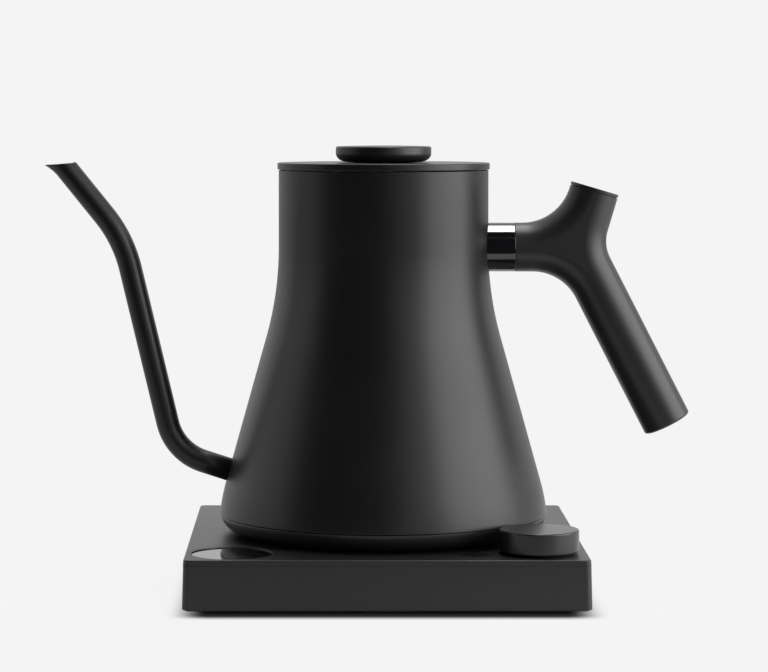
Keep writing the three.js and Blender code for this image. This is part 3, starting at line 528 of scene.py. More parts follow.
def body_outline(steps=20):
    """The outside of the kettle's body, foot first: a soft foot, a cone, a shoulder and a neck."""
    drop = NECK_FOOT - SHOULDER_SWEEP * math.sin(CONE_ANGLE) - CONE_FOOT
    cone_foot_radius = (
        NECK_RADIUS + SHOULDER_SWEEP * (1 - math.cos(CONE_ANGLE)) + drop * math.tan(CONE_ANGLE)
    )
    centre = (
        cone_foot_radius - FOOT_SWEEP * math.cos(CONE_ANGLE),
        CONE_FOOT - FOOT_SWEEP * math.sin(CONE_ANGLE),
    )
    foot_angle = math.asin((BODY_FOOT - centre[1]) / FOOT_SWEEP)
    foot = arc(centre, FOOT_SWEEP, foot_angle, CONE_ANGLE, steps // 2)
    shoulder_centre = (NECK_RADIUS + SHOULDER_SWEEP, NECK_FOOT)
    shoulder = arc(shoulder_centre, SHOULDER_SWEEP, math.pi + CONE_ANGLE, math.pi, steps)
    return [*foot, *shoulder, (NECK_RADIUS, BODY_TOP)]


def cone_radius(height):
    foot_radius, foot_height = body_outline()[10]
    return foot_radius - (height - foot_height) * math.tan(CONE_ANGLE)


def spout_path():
    """Stations (x, height, heading) along the middle of the spout."""
    root_heading = math.pi - SPOUT_ROOT_RISE
    stem_heading = math.pi / 2 + SPOUT_LEAN
    tip_heading = math.pi / 2 + SPOUT_TIP_LEAN
    root = (-cone_radius(SPOUT_ROOT_HEIGHT), SPOUT_ROOT_HEIGHT)
    elbow = (root[0] - SPOUT_STAND_OFF, root[1] + SPOUT_STAND_OFF * math.tan(SPOUT_ROOT_RISE))
    crook = (elbow[0] - (SPOUT_NECK_HEIGHT - elbow[1]) * math.tan(SPOUT_LEAN), SPOUT_NECK_HEIGHT)
    mouth = (crook[0] - (MOUTH_HEIGHT - crook[1]) * math.tan(SPOUT_TIP_LEAN), MOUTH_HEIGHT)
    return root, elbow, crook, mouth, root_heading, stem_heading, tip_heading


def bend(corner, radius, before, after, steps):
    side = math.copysign(1, after - before)
    tangent = radius * math.tan(abs(after - before) / 2)
    start = (corner[0] - tangent * math.cos(before), corner[1] - tangent * math.sin(before))
    centre = (start[0] - side * radius * math.sin(before), start[1] + side * radius * math.cos(before))
    stations = []
    for i in range(steps + 1):
        heading = before + (after - before) * i / steps
        x = centre[0] + side * radius * math.sin(heading)
        stations.append((x, centre[1] - side * radius * math.cos(heading), heading))
    return stations


def upright_point(x, height):
    """A point in the kettle's middle plane, given in the kettle's own heights."""
    return place(x, 0, SEAT + height)


def drawn_tube(name, radius, stations, sides=56):
    """A tube drawn through stations in the middle plane, open at both ends."""
    deselect()
    x, height, heading = stations[0]
    bpy.ops.mesh.primitive_circle_add(
        vertices=sides, radius=radius * MM, location=upright_point(x, height),
        rotation=(0, math.pi / 2 - heading, 0), fill_type="NOTHING",
    )
    piece = named(name)
    edit()
    bpy.ops.mesh.select_mode(type="EDGE")
    bpy.ops.mesh.select_all(action="SELECT")
    for (x0, z0, h0), (x1, z1, h1) in zip(stations, stations[1:]):
        bpy.ops.mesh.extrude_edges_move(
            TRANSFORM_OT_translate={"value": ((x1 - x0) * MM, 0, (z1 - z0) * MM)}
        )
        if h1 != h0:
            bpy.ops.transform.rotate(value=h1 - h0, orient_axis="Y", center_override=upright_point(x1, z1))
    return finish_edit(piece)


def spout_stations(start_shift, past_mouth):
    """The spout's whole run, begun inside the body's wall and carried on past the mouth."""
    root, elbow, crook, mouth, before, stem, tip = spout_path()
    start = (root[0] - start_shift * math.cos(before), root[1] - start_shift * math.sin(before), before)
    reaches = [-12, -6, -5, -4, -3, -2, -1, 0, 1, 2, 3, past_mouth]
    ends = [(mouth[0] + reach * math.cos(tip), mouth[1] + reach * math.sin(tip), tip) for reach in reaches]
    return [
        start,
        *bend(elbow, SPOUT_LOWER_BEND, before, stem, 14),
        *bend(crook, SPOUT_UPPER_BEND, stem, tip, 14),
        *ends,
    ]


def filled_tube(name, radius, start_shift, past_mouth):
    piece = drawn_tube(name, radius, spout_stations(start_shift, past_mouth))
    deselect()
    bpy.context.view_layer.objects.active = piece
    edit()
    pick(piece, "edges", lambda middle, edge: edge.is_boundary)
    bpy.ops.mesh.edge_face_add()
    pick(piece, "edges", lambda middle, edge: edge.is_boundary)
    bpy.ops.mesh.edge_face_add()
    return finish_edit(piece)


def spout_bore():
    return filled_tube("spout_bore", SPOUT_RADIUS - SPOUT_WALL, 14, 9)


def body_core(name, clearance):
    """The body without its hollow, which trims whatever meets the wall."""
    outline = [(radius + clearance, height) for radius, height in body_outline()]
    return turned(name, [(0.5, BODY_FOOT), *outline, (0.5, BODY_TOP)], lift=SEAT, sides=BODY_SIDES)


def make_shell():
    outside = body_outline()
    inside = [(radius - BODY_WALL, height) for radius, height in reversed(outside[:-1])]
    lip = eased([outside[-2], outside[-1], (NECK_RADIUS - BODY_WALL, BODY_TOP), inside[0]], 0.32, 4)
    foot = eased([inside[-2], inside[-1], outside[0], outside[1]], 0.2, 2)
    profile = [*outside[1:-1], *lip[1:-1], *inside[:-1], *foot[1:-1]]
    piece = turned("body_shell", closed(profile), lift=SEAT, sides=BODY_SIDES)
    cut_with(piece, spout_bore())
    return piece


def make_spout():
    _, _, _, mouth, _, _, tip = spout_path()
    piece = filled_tube("spout_tube", SPOUT_RADIUS, 6, 9)
    along = Vector((math.cos(tip), 0, math.sin(tip)))
    outward = Vector((-math.sin(tip), 0, math.cos(tip)))
    deselect()
    bpy.context.view_layer.objects.active = piece
    edit()
    normal = Vector((-MOUTH_SLOPE, 0, 1)).normalized()
    centre = upright_point(*mouth)
    trim(centre, normal)
    finish_edit(piece)
    cut_with(piece, spout_bore(), body_core("body_trim", 0.03))
    for vertex in piece.data.vertices:
        offset = vertex.co - centre
        nearness = max(0, 1 + min(0, offset.dot(normal)) / (LIP_RUN * MM))
        ring = offset - along * offset.dot(along)
        if nearness > 0 and ring.length > 0:
            side = max(0, ring.normalized().dot(outward))
            vertex.co.x -= LIP_REACH * MM * side ** 3 * nearness ** 2
    piece.data.update()
    finish = lambda middle, edge: (
        abs((middle - centre).dot(normal)) < 0.3 * MM and edge.calc_face_angle(0) > math.radians(50)
    )
    edit()
    pick(piece, "edges", finish)
    bpy.ops.mesh.bevel(offset=0.25 * MM, segments=3, affect="EDGES")
    return finish_edit(piece)


def make_floor_dish():
    outer = body_outline()[0][0] - BODY_WALL - 0.6
    dish = [
        (0.5, FLOOR_HEIGHT), (outer - 1, FLOOR_HEIGHT),
        (outer - 1, BODY_FOOT + 0.4), (outer, BODY_FOOT + 0.4),
        (outer, FLOOR_HEIGHT + FLOOR_THICKNESS), (0.5, FLOOR_HEIGHT + FLOOR_THICKNESS),
    ]
    return turned("floor_dish", eased(dish, 0.2, 2), lift=SEAT, sides=BODY_SIDES)


def make_cover():
    rim_height = BODY_FOOT - FIT_GAP
    rim_radius = body_outline()[0][0] - 0.5
    opening = PLUG_RADIUS + 0.8

    def belly(shrink, steps=14):
        wide = rim_radius - COVER_FLAT_RADIUS - shrink
        tall = rim_height - shrink
        angles = [-math.pi / 2 * (1 - i / steps) for i in range(steps + 1)]
        return [(COVER_FLAT_RADIUS + wide * math.cos(a), rim_height + tall * math.sin(a)) for a in angles]

    under, over = belly(0), belly(COVER_WALL)[::-1]
    rim = eased([under[-2], under[-1], over[0], over[1]], 0.35, 3)
    mouth = eased([over[-1], (opening, COVER_WALL), (opening, 0), under[0]], 0.6, 4)
    profile = [*under[:-1], *rim[1:-1], *over[1:-1], *mouth[:-1]]
    piece = turned("cover_dish", closed(profile), lift=SEAT, sides=BODY_SIDES)
    for at in cover_screw_places():
        recess = upright("screw_seat", COVER_SCREW_HEAD + FIT_GAP, SEAT - 1, SEAT + 1.2, at, 48)
        cut_with(piece, recess, upright("screw_bore", 1.8, SEAT - 1, SEAT + 3, at, 32))
    return piece


def cover_screw_places():
    angles = [math.radians(90 + 120 * i) for i in range(3)]
    return [(COVER_SCREW_CIRCLE * math.cos(angle), COVER_SCREW_CIRCLE * math.sin(angle)) for angle in angles]


def make_plug():
    bottom, top = (corner[2] - SEAT for corner in box_span("kettle_connector"))
    bore = POST_RADIUS + 1.7
    under = COVER_WALL + FIT_GAP
    profile = eased([
        (0.5, under), (bore, under), (bore, bottom), (PLUG_RADIUS, bottom), (PLUG_RADIUS, under),
        (PLUG_FLANGE, under), (PLUG_FLANGE, top), (0.5, top),
    ], 0.5, 4)
    return turned("plug_body", profile, lift=SEAT, sides=96)


def make_ferrule():
    reach = NECK_RADIUS + FERRULE_LENGTH
    piece = rod(
        "ferrule", HANDLE_RADIUS,
        upright_point(NECK_RADIUS - 4, HANDLE_HEIGHT), upright_point(reach, HANDLE_HEIGHT), 96,
    )
    bevel(piece, 0.3, 4)
    cut_with(piece, body_core("body_trim", 0.03))
    return finish_faces(piece)


def finish_faces(piece):
    make_active(piece)
    edit()
    return finish_edit(piece)


# ------------------------------------------------------------------ handle

JUNCTION = (NECK_RADIUS + FERRULE_LENGTH + ARM_LENGTH, HANDLE_HEIGHT)
ARM = math.pi
STUB = math.pi / 2 - STUB_LEAN
GRIP = GRIP_LEAN - math.pi / 2


def along(direction, distance):
    """A point in metres along one of the handle's three branches."""
    return upright_point(
        JUNCTION[0] + distance * math.cos(direction), JUNCTION[1] + distance * math.sin(direction)
    )


def heading_of(direction):
    return Vector((math.cos(direction), 0, math.sin(direction)))


def handle_ring(inset, level, overrun=6, steps=16):
    """The handle's side outline at one level: three branches joined by round crotches."""
    branches = [
        (ARM, ARM_LENGTH + overrun, CROTCH_BLEND),
        (STUB, STUB_LENGTH + overrun, WAIST_BLEND),
        (GRIP, GRIP_LENGTH + overrun, CROTCH_BLEND),
    ]
    half = HANDLE_RADIUS - inset
    points = []
    for i, (angle, reach, blend) in enumerate(branches):
        following = branches[i + 1][0] if i < 2 else branches[0][0] - 2 * math.pi
        middle = (angle + following) / 2
        stretch = (HANDLE_RADIUS + blend) / math.sin((angle - following) / 2)
        centre = (JUNCTION[0] + stretch * math.cos(middle), JUNCTION[1] + stretch * math.sin(middle))
        end = (JUNCTION[0] + reach * math.cos(angle), JUNCTION[1] + reach * math.sin(angle))
        side = (-half * math.sin(angle), half * math.cos(angle))
        points += [(end[0] + side[0], end[1] + side[1]), (end[0] - side[0], end[1] - side[1])]
        points += arc(centre, blend + inset, angle + math.pi / 2, following + 1.5 * math.pi, steps)
    return [upright_point(*point) + Vector((0, level * MM, 0)) for point in points]


def lofted(name, rings):
    """A closed body whose skin runs from ring to ring, with a flat face over each end ring."""
    mesh = bmesh.new()
    rows = [[mesh.verts.new(point) for point in ring] for ring in rings]
    for before, after in zip(rows, rows[1:]):
        for i in range(len(before)):
            mesh.faces.new((before[i - 1], before[i], after[i], after[i - 1]))
    mesh.faces.new(rows[0])
    mesh.faces.new(rows[-1])
    data = bpy.data.meshes.new(name)
    mesh.to_mesh(data)
    mesh.free()
    piece = bpy.data.objects.new(name, data)
    bpy.context.scene.collection.objects.link(piece)
    return finish_faces(piece)


def trim(point, normal):
    """Cuts the piece being edited off at a plane and closes the cut."""
    bpy.ops.mesh.select_all(action="SELECT")
    bpy.ops.mesh.bisect(plane_co=point, plane_no=normal, use_fill=True, clear_outer=True)


def make_handle():
    turns = [math.radians(87) * (i / HANDLE_LEVELS - 1) for i in range(2 * HANDLE_LEVELS + 1)]
    piece = lofted("handle_grip", [
        handle_ring(HANDLE_RADIUS * (1 - math.cos(turn)), HANDLE_RADIUS * math.sin(turn)) for turn in turns
    ])
    edit()
    ends = (
        (ARM, ARM_LENGTH - 0.03, 0.12),
        (STUB, STUB_LENGTH - CAP_THICKNESS - FIT_GAP, 0.1),
        (GRIP, GRIP_LENGTH, GRIP_END_EDGE),
    )
    for direction, reach, _ in ends:
        trim(along(direction, reach), heading_of(direction))
    for direction, reach, width in ends:
        end, heading = along(direction, reach), heading_of(direction)
        pick(piece, "edges", lambda middle, edge: all(
            abs((vert.co - end).dot(heading)) < 1e-6 and (vert.co - end).length < 13 * MM
            for vert in edge.verts
        ))
        bpy.ops.mesh.bevel(offset=width * MM, segments=5, affect="EDGES")
    finish_edit(piece)
    seat_floor = along(GRIP, GRIP_LENGTH - END_PLUG_THICKNESS - FIT_GAP)
    cut_with(piece, rod("plug_seat", END_PLUG_RADIUS + 0.15, seat_floor, along(GRIP, GRIP_LENGTH + 2), 96))
    return finish_faces(piece)


def make_cap():
    seat = STUB_LENGTH - CAP_THICKNESS
    piece = rod("handle_cap", HANDLE_RADIUS, along(STUB, seat), along(STUB, STUB_LENGTH), 96)
    end, heading = along(STUB, seat), heading_of(STUB)
    edit()
    pick(piece, "faces", lambda middle, face: (middle - end).length < 1e-5)
    bpy.ops.mesh.inset(thickness=0.5 * MM)
    bpy.ops.mesh.extrude_region_move(TRANSFORM_OT_translate={"value": heading * -FIT_GAP * MM})
    finish_edit(piece)
    bevel(piece, 0.12, 2)
    return piece


def make_end_plug():
    inner_face = along(GRIP, GRIP_LENGTH - END_PLUG_THICKNESS)
    piece = rod("end_plug", END_PLUG_RADIUS, inner_face, along(GRIP, GRIP_LENGTH), 96)
    bevel(piece, 0.25, 3)
    return piece


# ------------------------------------------------------------------ lid

def make_lid_disc():
    profile = eased([
        (LID_BORE, LID_BOTTOM), (LID_RADIUS, LID_BOTTOM), (LID_RADIUS, LID_TOP), (LID_BORE, LID_TOP),
        (LID_BORE, LID_BOTTOM + 1),
    ], 0.45, 5)
    ring = closed([(LID_BORE, LID_BOTTOM + 0.9), *profile[1:-1]])
    return turned("lid_plate", ring, lift=SEAT, sides=BODY_SIDES)


def make_lid_knob():
    bottom = LID_TOP + FIT_GAP
    top = bottom + LID_KNOB_HEIGHT
    steps = 14
    angles = [-math.pi / 2 * (1 - i / steps) for i in range(steps + 1)]
    wide = LID_KNOB_RADIUS - LID_KNOB_FOOT_RADIUS
    belly = [
        (LID_KNOB_FOOT_RADIUS + wide * math.cos(a), bottom + LID_KNOB_BELLY * (1 + math.sin(a)))
        for a in angles
    ]
    edge_centre = (LID_KNOB_RADIUS - LID_KNOB_EDGE, top - LID_KNOB_CROWN - LID_KNOB_EDGE)
    corner = arc(edge_centre, LID_KNOB_EDGE, 0, math.pi / 2 - 0.03, 6)
    shares = (0.85, 0.7, 0.55, 0.4, 0.25, 0.1)
    roof_curve = [(LID_KNOB_RADIUS * t, top - LID_KNOB_CROWN * t ** 2) for t in shares]
    roof = bottom + 3.3
    profile = [(0.5, roof), (2.4, roof), (2.4, bottom), *belly, *corner, *roof_curve, (0.5, top)]
    return turned("lid_handle", profile, lift=SEAT, sides=128)


def make_skirt():
    bottom = BODY_TOP - SKIRT_DEPTH
    outer = box_span("lid_skirt")[1][0]
    inner, floor = outer - SKIRT_WALL, bottom + SKIRT_WALL
    profile = eased([
        (LID_BORE, floor), (LID_BORE, bottom), (outer, bottom), (outer, BODY_TOP), (inner, BODY_TOP),
        (inner, floor), (LID_BORE + 0.2, floor),
    ], 0.3, 3)
    return turned("lid_collar", closed(profile[:-1]), lift=SEAT, sides=BODY_SIDES)


# ------------------------------------------------------------------ finishes

def new_group(name, inputs, outputs):
    group = bpy.data.node_groups.new(name, "ShaderNodeTree")
    for label, kind, value in inputs:
        socket = group.interface.new_socket(label, in_out="INPUT", socket_type=kind)
        if value is not None:
            socket.default_value = value
    for label, kind in outputs:
        group.interface.new_socket(label, in_out="OUTPUT", socket_type=kind)
    return group, group.nodes.new("NodeGroupInput"), group.nodes.new("NodeGroupOutput")


def make_surface_group():
    """Fine grain and slow unevenness of a coated, moulded or cast surface."""
    group, inputs, outputs = new_group(
        "surface_unevenness",
        [
            ("Grain Scale", "NodeSocketFloat", 2500), ("Cloud Scale", "NodeSocketFloat", 25),
            ("Shade", "NodeSocketColor", (0.02, 0.02, 0.02, 1)),
            ("Tint", "NodeSocketColor", (0.03, 0.03, 0.03, 1)),
            ("Smoothest", "NodeSocketFloat", 0.35), ("Roughest", "NodeSocketFloat", 0.45),
        ],
        [("Color", "NodeSocketColor"), ("Roughness", "NodeSocketFloat"), ("Height", "NodeSocketFloat")],
    )
    nodes, link = group.nodes, group.links.new
    where = nodes.new("ShaderNodeTexCoord")
    grain = nodes.new("ShaderNodeTexNoise")
    grain.inputs["Detail"].default_value = 3
    grain.inputs["Roughness"].default_value = 0.55
    cloud = nodes.new("ShaderNodeTexNoise")
    cloud.inputs["Detail"].default_value = 4
    link(where.outputs["Object"], grain.inputs["Vector"])
    link(where.outputs["Object"], cloud.inputs["Vector"])
    link(inputs.outputs["Grain Scale"], grain.inputs["Scale"])
    link(inputs.outputs["Cloud Scale"], cloud.inputs["Scale"])
    blend = nodes.new("ShaderNodeMix")
    blend.inputs["Factor"].default_value = 0.35
    link(cloud.outputs["Fac"], blend.inputs["A"])
    link(grain.outputs["Fac"], blend.inputs["B"])
    colour = nodes.new("ShaderNodeMix")
    colour.data_type = "RGBA"
    link(blend.outputs["Result"], colour.inputs["Factor"])
    link(inputs.outputs["Shade"], colour.inputs["A"])
    link(inputs.outputs["Tint"], colour.inputs["B"])
    rough = nodes.new("ShaderNodeMapRange")
    rough.inputs["From Min"].default_value = 0.25
    rough.inputs["From Max"].default_value = 0.75
    link(blend.outputs["Result"], rough.inputs["Value"])
    link(inputs.outputs["Smoothest"], rough.inputs["To Min"])
    link(inputs.outputs["Roughest"], rough.inputs["To Max"])
    link(colour.outputs["Result"], outputs.inputs["Color"])
    link(rough.outputs["Result"], outputs.inputs["Roughness"])
    link(grain.outputs["Fac"], outputs.inputs["Height"])
    return group


surface_group = make_surface_group()


def make_finish(
    name, shade, tint, smooth, rough, grain=2500, cloud=25, relief=0.02, strength=0.3, metallic=0.0, **sockets
):
    """A finish whose colour, roughness and relief come from the shared unevenness group."""
    finish = bpy.data.materials.new(name)
    finish.use_nodes = True
    nodes, link = finish.node_tree.nodes, finish.node_tree.links.new
    shader = nodes["Principled BSDF"]
    surface = nodes.new("ShaderNodeGroup")
    surface.node_tree = surface_group
    surface.inputs["Grain Scale"].default_value = grain
    surface.inputs["Cloud Scale"].default_value = cloud
    surface.inputs["Shade"].default_value = (*shade, 1)
    surface.inputs["Tint"].default_value = (*tint, 1)
    surface.inputs["Smoothest"].default_value = smooth
    surface.inputs["Roughest"].default_value = rough
    bump = nodes.new("ShaderNodeBump")
    bump.inputs["Strength"].default_value = strength
    bump.inputs["Distance"].default_value = relief * MM
    link(surface.outputs["Color"], shader.inputs["Base Color"])
    link(surface.outputs["Roughness"], shader.inputs["Roughness"])
    link(surface.outputs["Height"], bump.inputs["Height"])
    link(bump.outputs["Normal"], shader.inputs["Normal"])
    shader.inputs["Metallic"].default_value = metallic
    for label, value in sockets.items():
        shader.inputs[label.replace("_", " ")].default_value = value
    return finish


FINISHES = {
    "matte_black_plastic": make_finish(
        "fine_moulded_black", (0.007, 0.007, 0.0075), (0.011, 0.011, 0.012), 0.35, 0.43,
        grain=3200, relief=0.02, Specular_IOR_Level=0.47,
    ),
    "coated_steel": make_finish(
        "satin_powder_coat", (0.004, 0.004, 0.0045), (0.007, 0.007, 0.0075), 0.33, 0.41,
        grain=2200, relief=0.02, strength=0.1, Specular_IOR_Level=0.38,
    ),
    "gloss_black": make_finish(
        "polished_black", (0.004, 0.004, 0.005), (0.007, 0.007, 0.008), 0.05, 0.09, grain=900, relief=0.002,
        Specular_IOR_Level=0.75,
    ),
    "satin_moulding": make_finish(
        "satin_moulding", (0.007, 0.007, 0.0075), (0.011, 0.011, 0.012), 0.27, 0.33, grain=3000, relief=0.01,
        Specular_IOR_Level=0.5,
    ),
    "steel": make_finish(
        "plain_steel", (0.5, 0.5, 0.51), (0.62, 0.62, 0.63), 0.22, 0.36,
        grain=1500, relief=0.004, metallic=1.0,
    ),
    "aluminium": make_finish(
        "cast_aluminium", (0.6, 0.61, 0.62), (0.72, 0.73, 0.74), 0.34, 0.5, grain=1800, metallic=1.0,
    ),
    "brass": make_finish(
        "worn_brass", (0.5, 0.36, 0.16), (0.66, 0.5, 0.24), 0.25, 0.4, grain=1200, relief=0.006, metallic=1.0,
    ),
    "rubber": make_finish(
        "black_rubber", (0.012, 0.012, 0.012), (0.022, 0.022, 0.022), 0.7, 0.85, grain=4000, relief=0.04,
    ),
    "silicone": make_finish(
        "grey_silicone", (0.22, 0.22, 0.22), (0.3, 0.3, 0.3), 0.5, 0.62, grain=3000,
    ),
    "pale_plastic": make_finish(
        "pale_technical_plastic", (0.62, 0.61, 0.57), (0.72, 0.71, 0.67), 0.4, 0.55, grain=2600,
    ),
    "circuit_board": make_finish(
        "green_circuit_board", (0.02, 0.11, 0.04), (0.04, 0.17, 0.07), 0.3, 0.45, grain=700, relief=0.01,
    ),
}
SLOT_OF = {row["node"]: row["material_slot"] for row in frame["record"]["subparts"]}


def dress(piece, slot):
    piece.data.materials.clear()
    piece.data.materials.append(FINISHES[slot])


def fit(piece, body, *nodes, finish=None):
    """Lets a finished piece stand for its CAD nodes, in their finish and on their body."""
    slot = SLOT_OF[nodes[0]]
    dress(piece, finish or slot)
    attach(piece, body)
    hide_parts(*nodes)


def even_shading(piece):
    """Keeps flat faces flat beside their rounded edges."""
    deselect()
    piece.select_set(True)
    apply_modifier(piece, "WEIGHTED_NORMAL", keep_sharp=True)


# ------------------------------------------------------------------ making and fitting

def feet():
    for number, (x, y) in enumerate(foot_places(), start=1):
        piece = make_foot((x, y))
        piece.name = piece.data.name = f"foot_{number}"
        fit(piece, "base", f"base_foot_{number}")


def foot_places():
    places = []
    for number in range(1, 5):
        start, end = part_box(f"base_foot_{number}")
        middle = (start + end) / 2
        places.append((millimetres(middle.x) - AXIS_X, millimetres(middle.y)))
    return places


def cover_screws():
    for number, at in enumerate(cover_screw_places(), start=1):
        piece = make_screw(f"cover_screw_piece_{number}", at, COVER_SCREW_HEAD, SEAT + 0.2, 0.8, 8)
        fit(piece, "kettle", f"cover_screw_{number}")


feet()
fit(make_housing(), "base", "base_housing")
fit(make_bezel(), "base", "display_bezel")
fit(make_lens(), "base", "display_lens")
fit(make_indicator(), "base", "indicator_lens", finish="satin_moulding")
fit(make_socket(), "base", "base_connector")
fit(make_centre_pin(), "base", "base_centre_pin")
contact = [corner[2] for corner in box_span("base_contact_ring")]
fit(
    make_ring("contact_ring", POST_RADIUS + FIT_GAP, POST_RADIUS + 1.1, *contact),
    "base", "base_contact_ring",
)
fit(make_gland(), "base", "cord_gland")
fit(make_slider(), "hold_slider", "hold_switch_slider")
fit(make_knob(), "knob", "control_knob", finish="satin_moulding")
shutter = [corner[2] for corner in box_span("connector_shutter")]
fit(
    make_ring("shutter_ring", POST_RADIUS + 1.6, SOCKET_RADIUS - SOCKET_WALL - 0.4, *shutter),
    frame["nodes"]["connector_shutter"]["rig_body"], "connector_shutter",
)
fit(make_shell(), "kettle", "kettle_shell")
fit(make_floor_dish(), "kettle", "kettle_floor")
fit(make_cover(), "kettle", "underside_cover")
cover_screws()
fit(make_plug(), "kettle", "kettle_connector")
fit(make_spout(), "kettle", "spout")
fit(make_ferrule(), "kettle", "handle_ferrule")
fit(make_handle(), "kettle", "handle_body")
fit(make_cap(), "kettle", "handle_top_cap")
fit(make_end_plug(), "kettle", "handle_end_plug")
fit(make_lid_disc(), "lid", "lid_disc")
fit(make_lid_knob(), "lid", "lid_knob")
fit(make_skirt(), "lid", "lid_skirt")
seal_low, seal_high = box_span("lid_seal")
seal_bore = box_span("lid_skirt")[1][0] + FIT_GAP
fit(
    make_ring("lid_gasket", seal_bore, seal_high[0], seal_low[2], seal_high[2], 0.5, BODY_SIDES),
    "lid", "lid_seal",
)

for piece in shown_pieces():
    if "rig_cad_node" in piece:
        dress(piece, SLOT_OF[piece["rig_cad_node"]])
    else:
        even_shading(piece)

# ------------------------------------------------------------------ studio

def stage_finish(name, colour, roughness):
    finish = bpy.data.materials.new(name)
    finish.use_nodes = True
    shader = finish.node_tree.nodes["Principled BSDF"]
    shader.inputs["Base Color"].default_value = (*colour, 1)
    shader.inputs["Roughness"].default_value = roughness
    shader.inputs["Specular IOR Level"].default_value = 0.1
    return finish


PALE = 0.905
FLOOR_SIDE = 40
# Where the painted shadow band round the base starts and ends its fade, in metres from the base's middle.
PAINTED_SHADOW_FADE_X = (0.074, 0.0965)
PAINTED_SHADOW_FADE_Y = (0.0885, 0.1035)
PAINTED_SHADOW_LEVEL = 0.003
PAINT_FADE = (0.095, 0.17)
PAINT_NEAR, PAINT_FAR = 0.97, 1.0
WORLD_LEVEL = 0.45
CAMERA_PLACE = (-0.0184, -1.2789, 0.20836)
CAMERA_PITCH = math.radians(2.5628)
CAMERA_SENSOR = 36
CAMERA_LENS = 134.692
CAMERA_SHIFT = (0.0766, -0.12)


def make_table():
    """A pale floor. For camera rays a dark band painted round the base stands in for the object's
    own shadow, of which only a few hundredths show through near the base and none further out."""
    deselect()
    bpy.ops.mesh.primitive_plane_add(size=FLOOR_SIDE)
    table = named("studio_floor")
    finish = stage_finish("pale_floor", (PALE, PALE, PALE), 0.9)
    nodes, link = finish.node_tree.nodes, finish.node_tree.links.new
    where = nodes.new("ShaderNodeTexCoord")
    shift = nodes.new("ShaderNodeMapping")
    shift.inputs["Location"].default_value = (-AXIS_X * MM, 0, 0)
    size = nodes.new("ShaderNodeVectorMath")
    size.operation = "ABSOLUTE"
    parts = nodes.new("ShaderNodeSeparateXYZ")
    link(where.outputs["Object"], shift.inputs["Vector"])
    link(shift.outputs["Vector"], size.inputs[0])
    link(size.outputs["Vector"], parts.inputs["Vector"])

    def ramp(source, start, end, low_value=0.0, high_value=1.0):
        node = nodes.new("ShaderNodeMapRange")
        node.interpolation_type = "SMOOTHSTEP"
        node.inputs["From Min"].default_value = start
        node.inputs["From Max"].default_value = end
        node.inputs["To Min"].default_value = low_value
        node.inputs["To Max"].default_value = high_value
        link(source, node.inputs["Value"])
        return node.outputs["Result"]

    def combine(operation, first, second):
        node = nodes.new("ShaderNodeMath")
        node.operation = operation
        link(first, node.inputs[0])
        link(second, node.inputs[1])
        return node.outputs["Value"]

    # Painted shadow: the floor's glow for camera rays is dimmed in a band round the base.
    painted_shadow_side = ramp(parts.outputs["X"], *PAINTED_SHADOW_FADE_X, 1.0, 0.0)
    painted_shadow_front = ramp(parts.outputs["Y"], *PAINTED_SHADOW_FADE_Y, 1.0, 0.0)
    painted_shadow_mask = ramp(combine("MULTIPLY", painted_shadow_side, painted_shadow_front), 0.0, 1.0, 1.0, PAINTED_SHADOW_LEVEL)
    reach = combine("MAXIMUM", parts.outputs["X"], parts.outputs["Y"])
    painted = ramp(reach, *PAINT_FADE, PAINT_NEAR, PAINT_FAR)
    rays = nodes.new("ShaderNodeLightPath")
    share = combine("MULTIPLY", painted, rays.outputs["Is Camera Ray"])
    glow = nodes.new("ShaderNodeEmission")
    glow.inputs["Color"].default_value = (PALE, PALE, PALE, 1)
    link(painted_shadow_mask, glow.inputs["Strength"])
    blend = nodes.new("ShaderNodeMixShader")
    link(share, blend.inputs["Fac"])
    link(nodes["Principled BSDF"].outputs["BSDF"], blend.inputs[1])
    link(glow.outputs["Emission"], blend.inputs[2])
    link(blend.outputs["Shader"], nodes["Material Output"].inputs["Surface"])
    table.data.materials.append(finish)


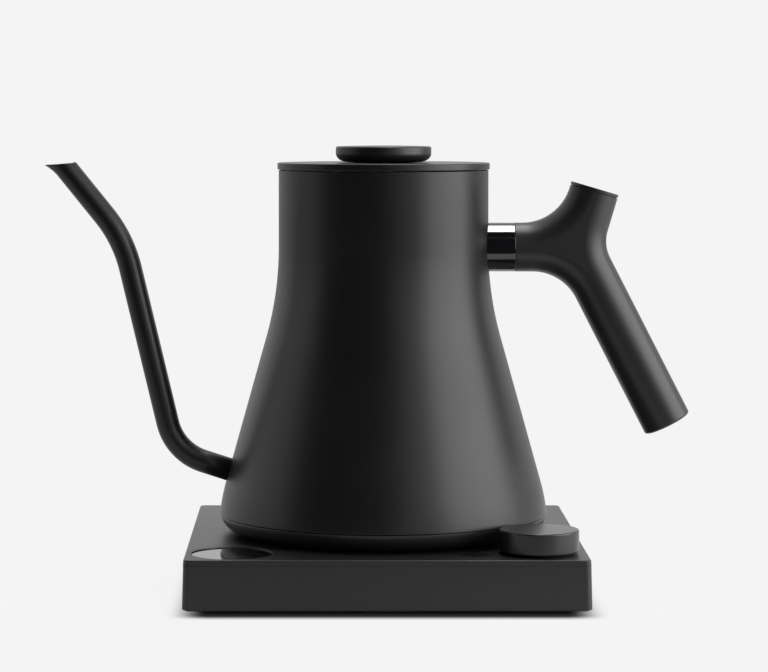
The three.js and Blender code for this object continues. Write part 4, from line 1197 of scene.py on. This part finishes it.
def make_world():
    """A pale world, at full strength where it is seen or reflected and lower as light on the object."""
    world = bpy.data.worlds.new("studio")
    bpy.context.scene.world = world
    world.use_nodes = True
    nodes, link = world.node_tree.nodes, world.node_tree.links.new
    sky = nodes["Background"]
    rays = nodes.new("ShaderNodeLightPath")
    seen = nodes.new("ShaderNodeMath")
    seen.operation = "MAXIMUM"
    link(rays.outputs["Is Camera Ray"], seen.inputs[0])
    link(rays.outputs["Is Glossy Ray"], seen.inputs[1])
    through = nodes.new("ShaderNodeMath")
    through.operation = "MAXIMUM"
    link(seen.outputs["Value"], through.inputs[0])
    link(rays.outputs["Is Transmission Ray"], through.inputs[1])
    level = nodes.new("ShaderNodeMapRange")
    level.inputs["To Min"].default_value = WORLD_LEVEL
    level.inputs["To Max"].default_value = 1.0
    link(through.outputs["Value"], level.inputs["Value"])
    sky.inputs["Color"].default_value = (PALE, PALE, PALE, 1)
    link(level.outputs["Result"], sky.inputs["Strength"])


def add_light(name, position, target, size, power):
    data = bpy.data.lights.new(name, "AREA")
    data.shape = "RECTANGLE"
    data.size, data.size_y = size
    data.energy = power
    light = bpy.data.objects.new(name, data)
    bpy.context.scene.collection.objects.link(light)
    light.location = position
    light.rotation_euler = (Vector(target) - Vector(position)).to_track_quat("-Z", "Y").to_euler()


def add_flag(name, position, target, size):
    """A black card in front of, under or above the kettle. Only reflections see it, and there it
    hides the pale surroundings."""
    deselect()
    turn = (Vector(target) - Vector(position)).to_track_quat("Z", "Y").to_euler()
    bpy.ops.mesh.primitive_plane_add(size=1, location=position, rotation=turn)
    bpy.context.object.scale = (*size, 1)
    card = named(name)
    card.data.materials.append(stage_finish("black_card", (0.003, 0.003, 0.003), 0.9))
    card.visible_camera = False
    card.visible_shadow = False
    card.visible_diffuse = False


make_table()
make_world()
add_light("top_strip", (0.15, 0.3, 1.6), (0.15, 0.3, 0), (0.16, 1.2), 11)
add_light("right_soft", (1.1, -0.36, 0.42), (0.0, 0.0, 0.1), (1.25, 0.9), 14.5)
add_flag("front_card", (-0.8, -1.35, 0.75), (0, 0, 0.1), (3.0, 2.0))
add_flag("floor_card", (-0.6, -1.27, 0.001), (-0.6, -1.27, 1), (3.4, 2.0))
add_flag("roof_card", (-0.5, -0.87, 1.72), (-0.5, -0.87, 0), (1.8, 1.25))


def make_camera():
    """The camera faces the base squarely, tipped a little down and shifted onto the object."""
    data = bpy.data.cameras.new("camera")
    data.sensor_width = CAMERA_SENSOR
    data.lens = CAMERA_LENS
    data.shift_x, data.shift_y = CAMERA_SHIFT
    data.clip_start = 0.05
    camera = bpy.data.objects.new("camera", data)
    bpy.context.scene.collection.objects.link(camera)
    camera.location = CAMERA_PLACE
    camera.rotation_euler = (math.pi / 2 - CAMERA_PITCH, 0, 0)
    bpy.context.scene.camera = camera


make_camera()
bpy.context.scene.view_settings.view_transform = "Standard"
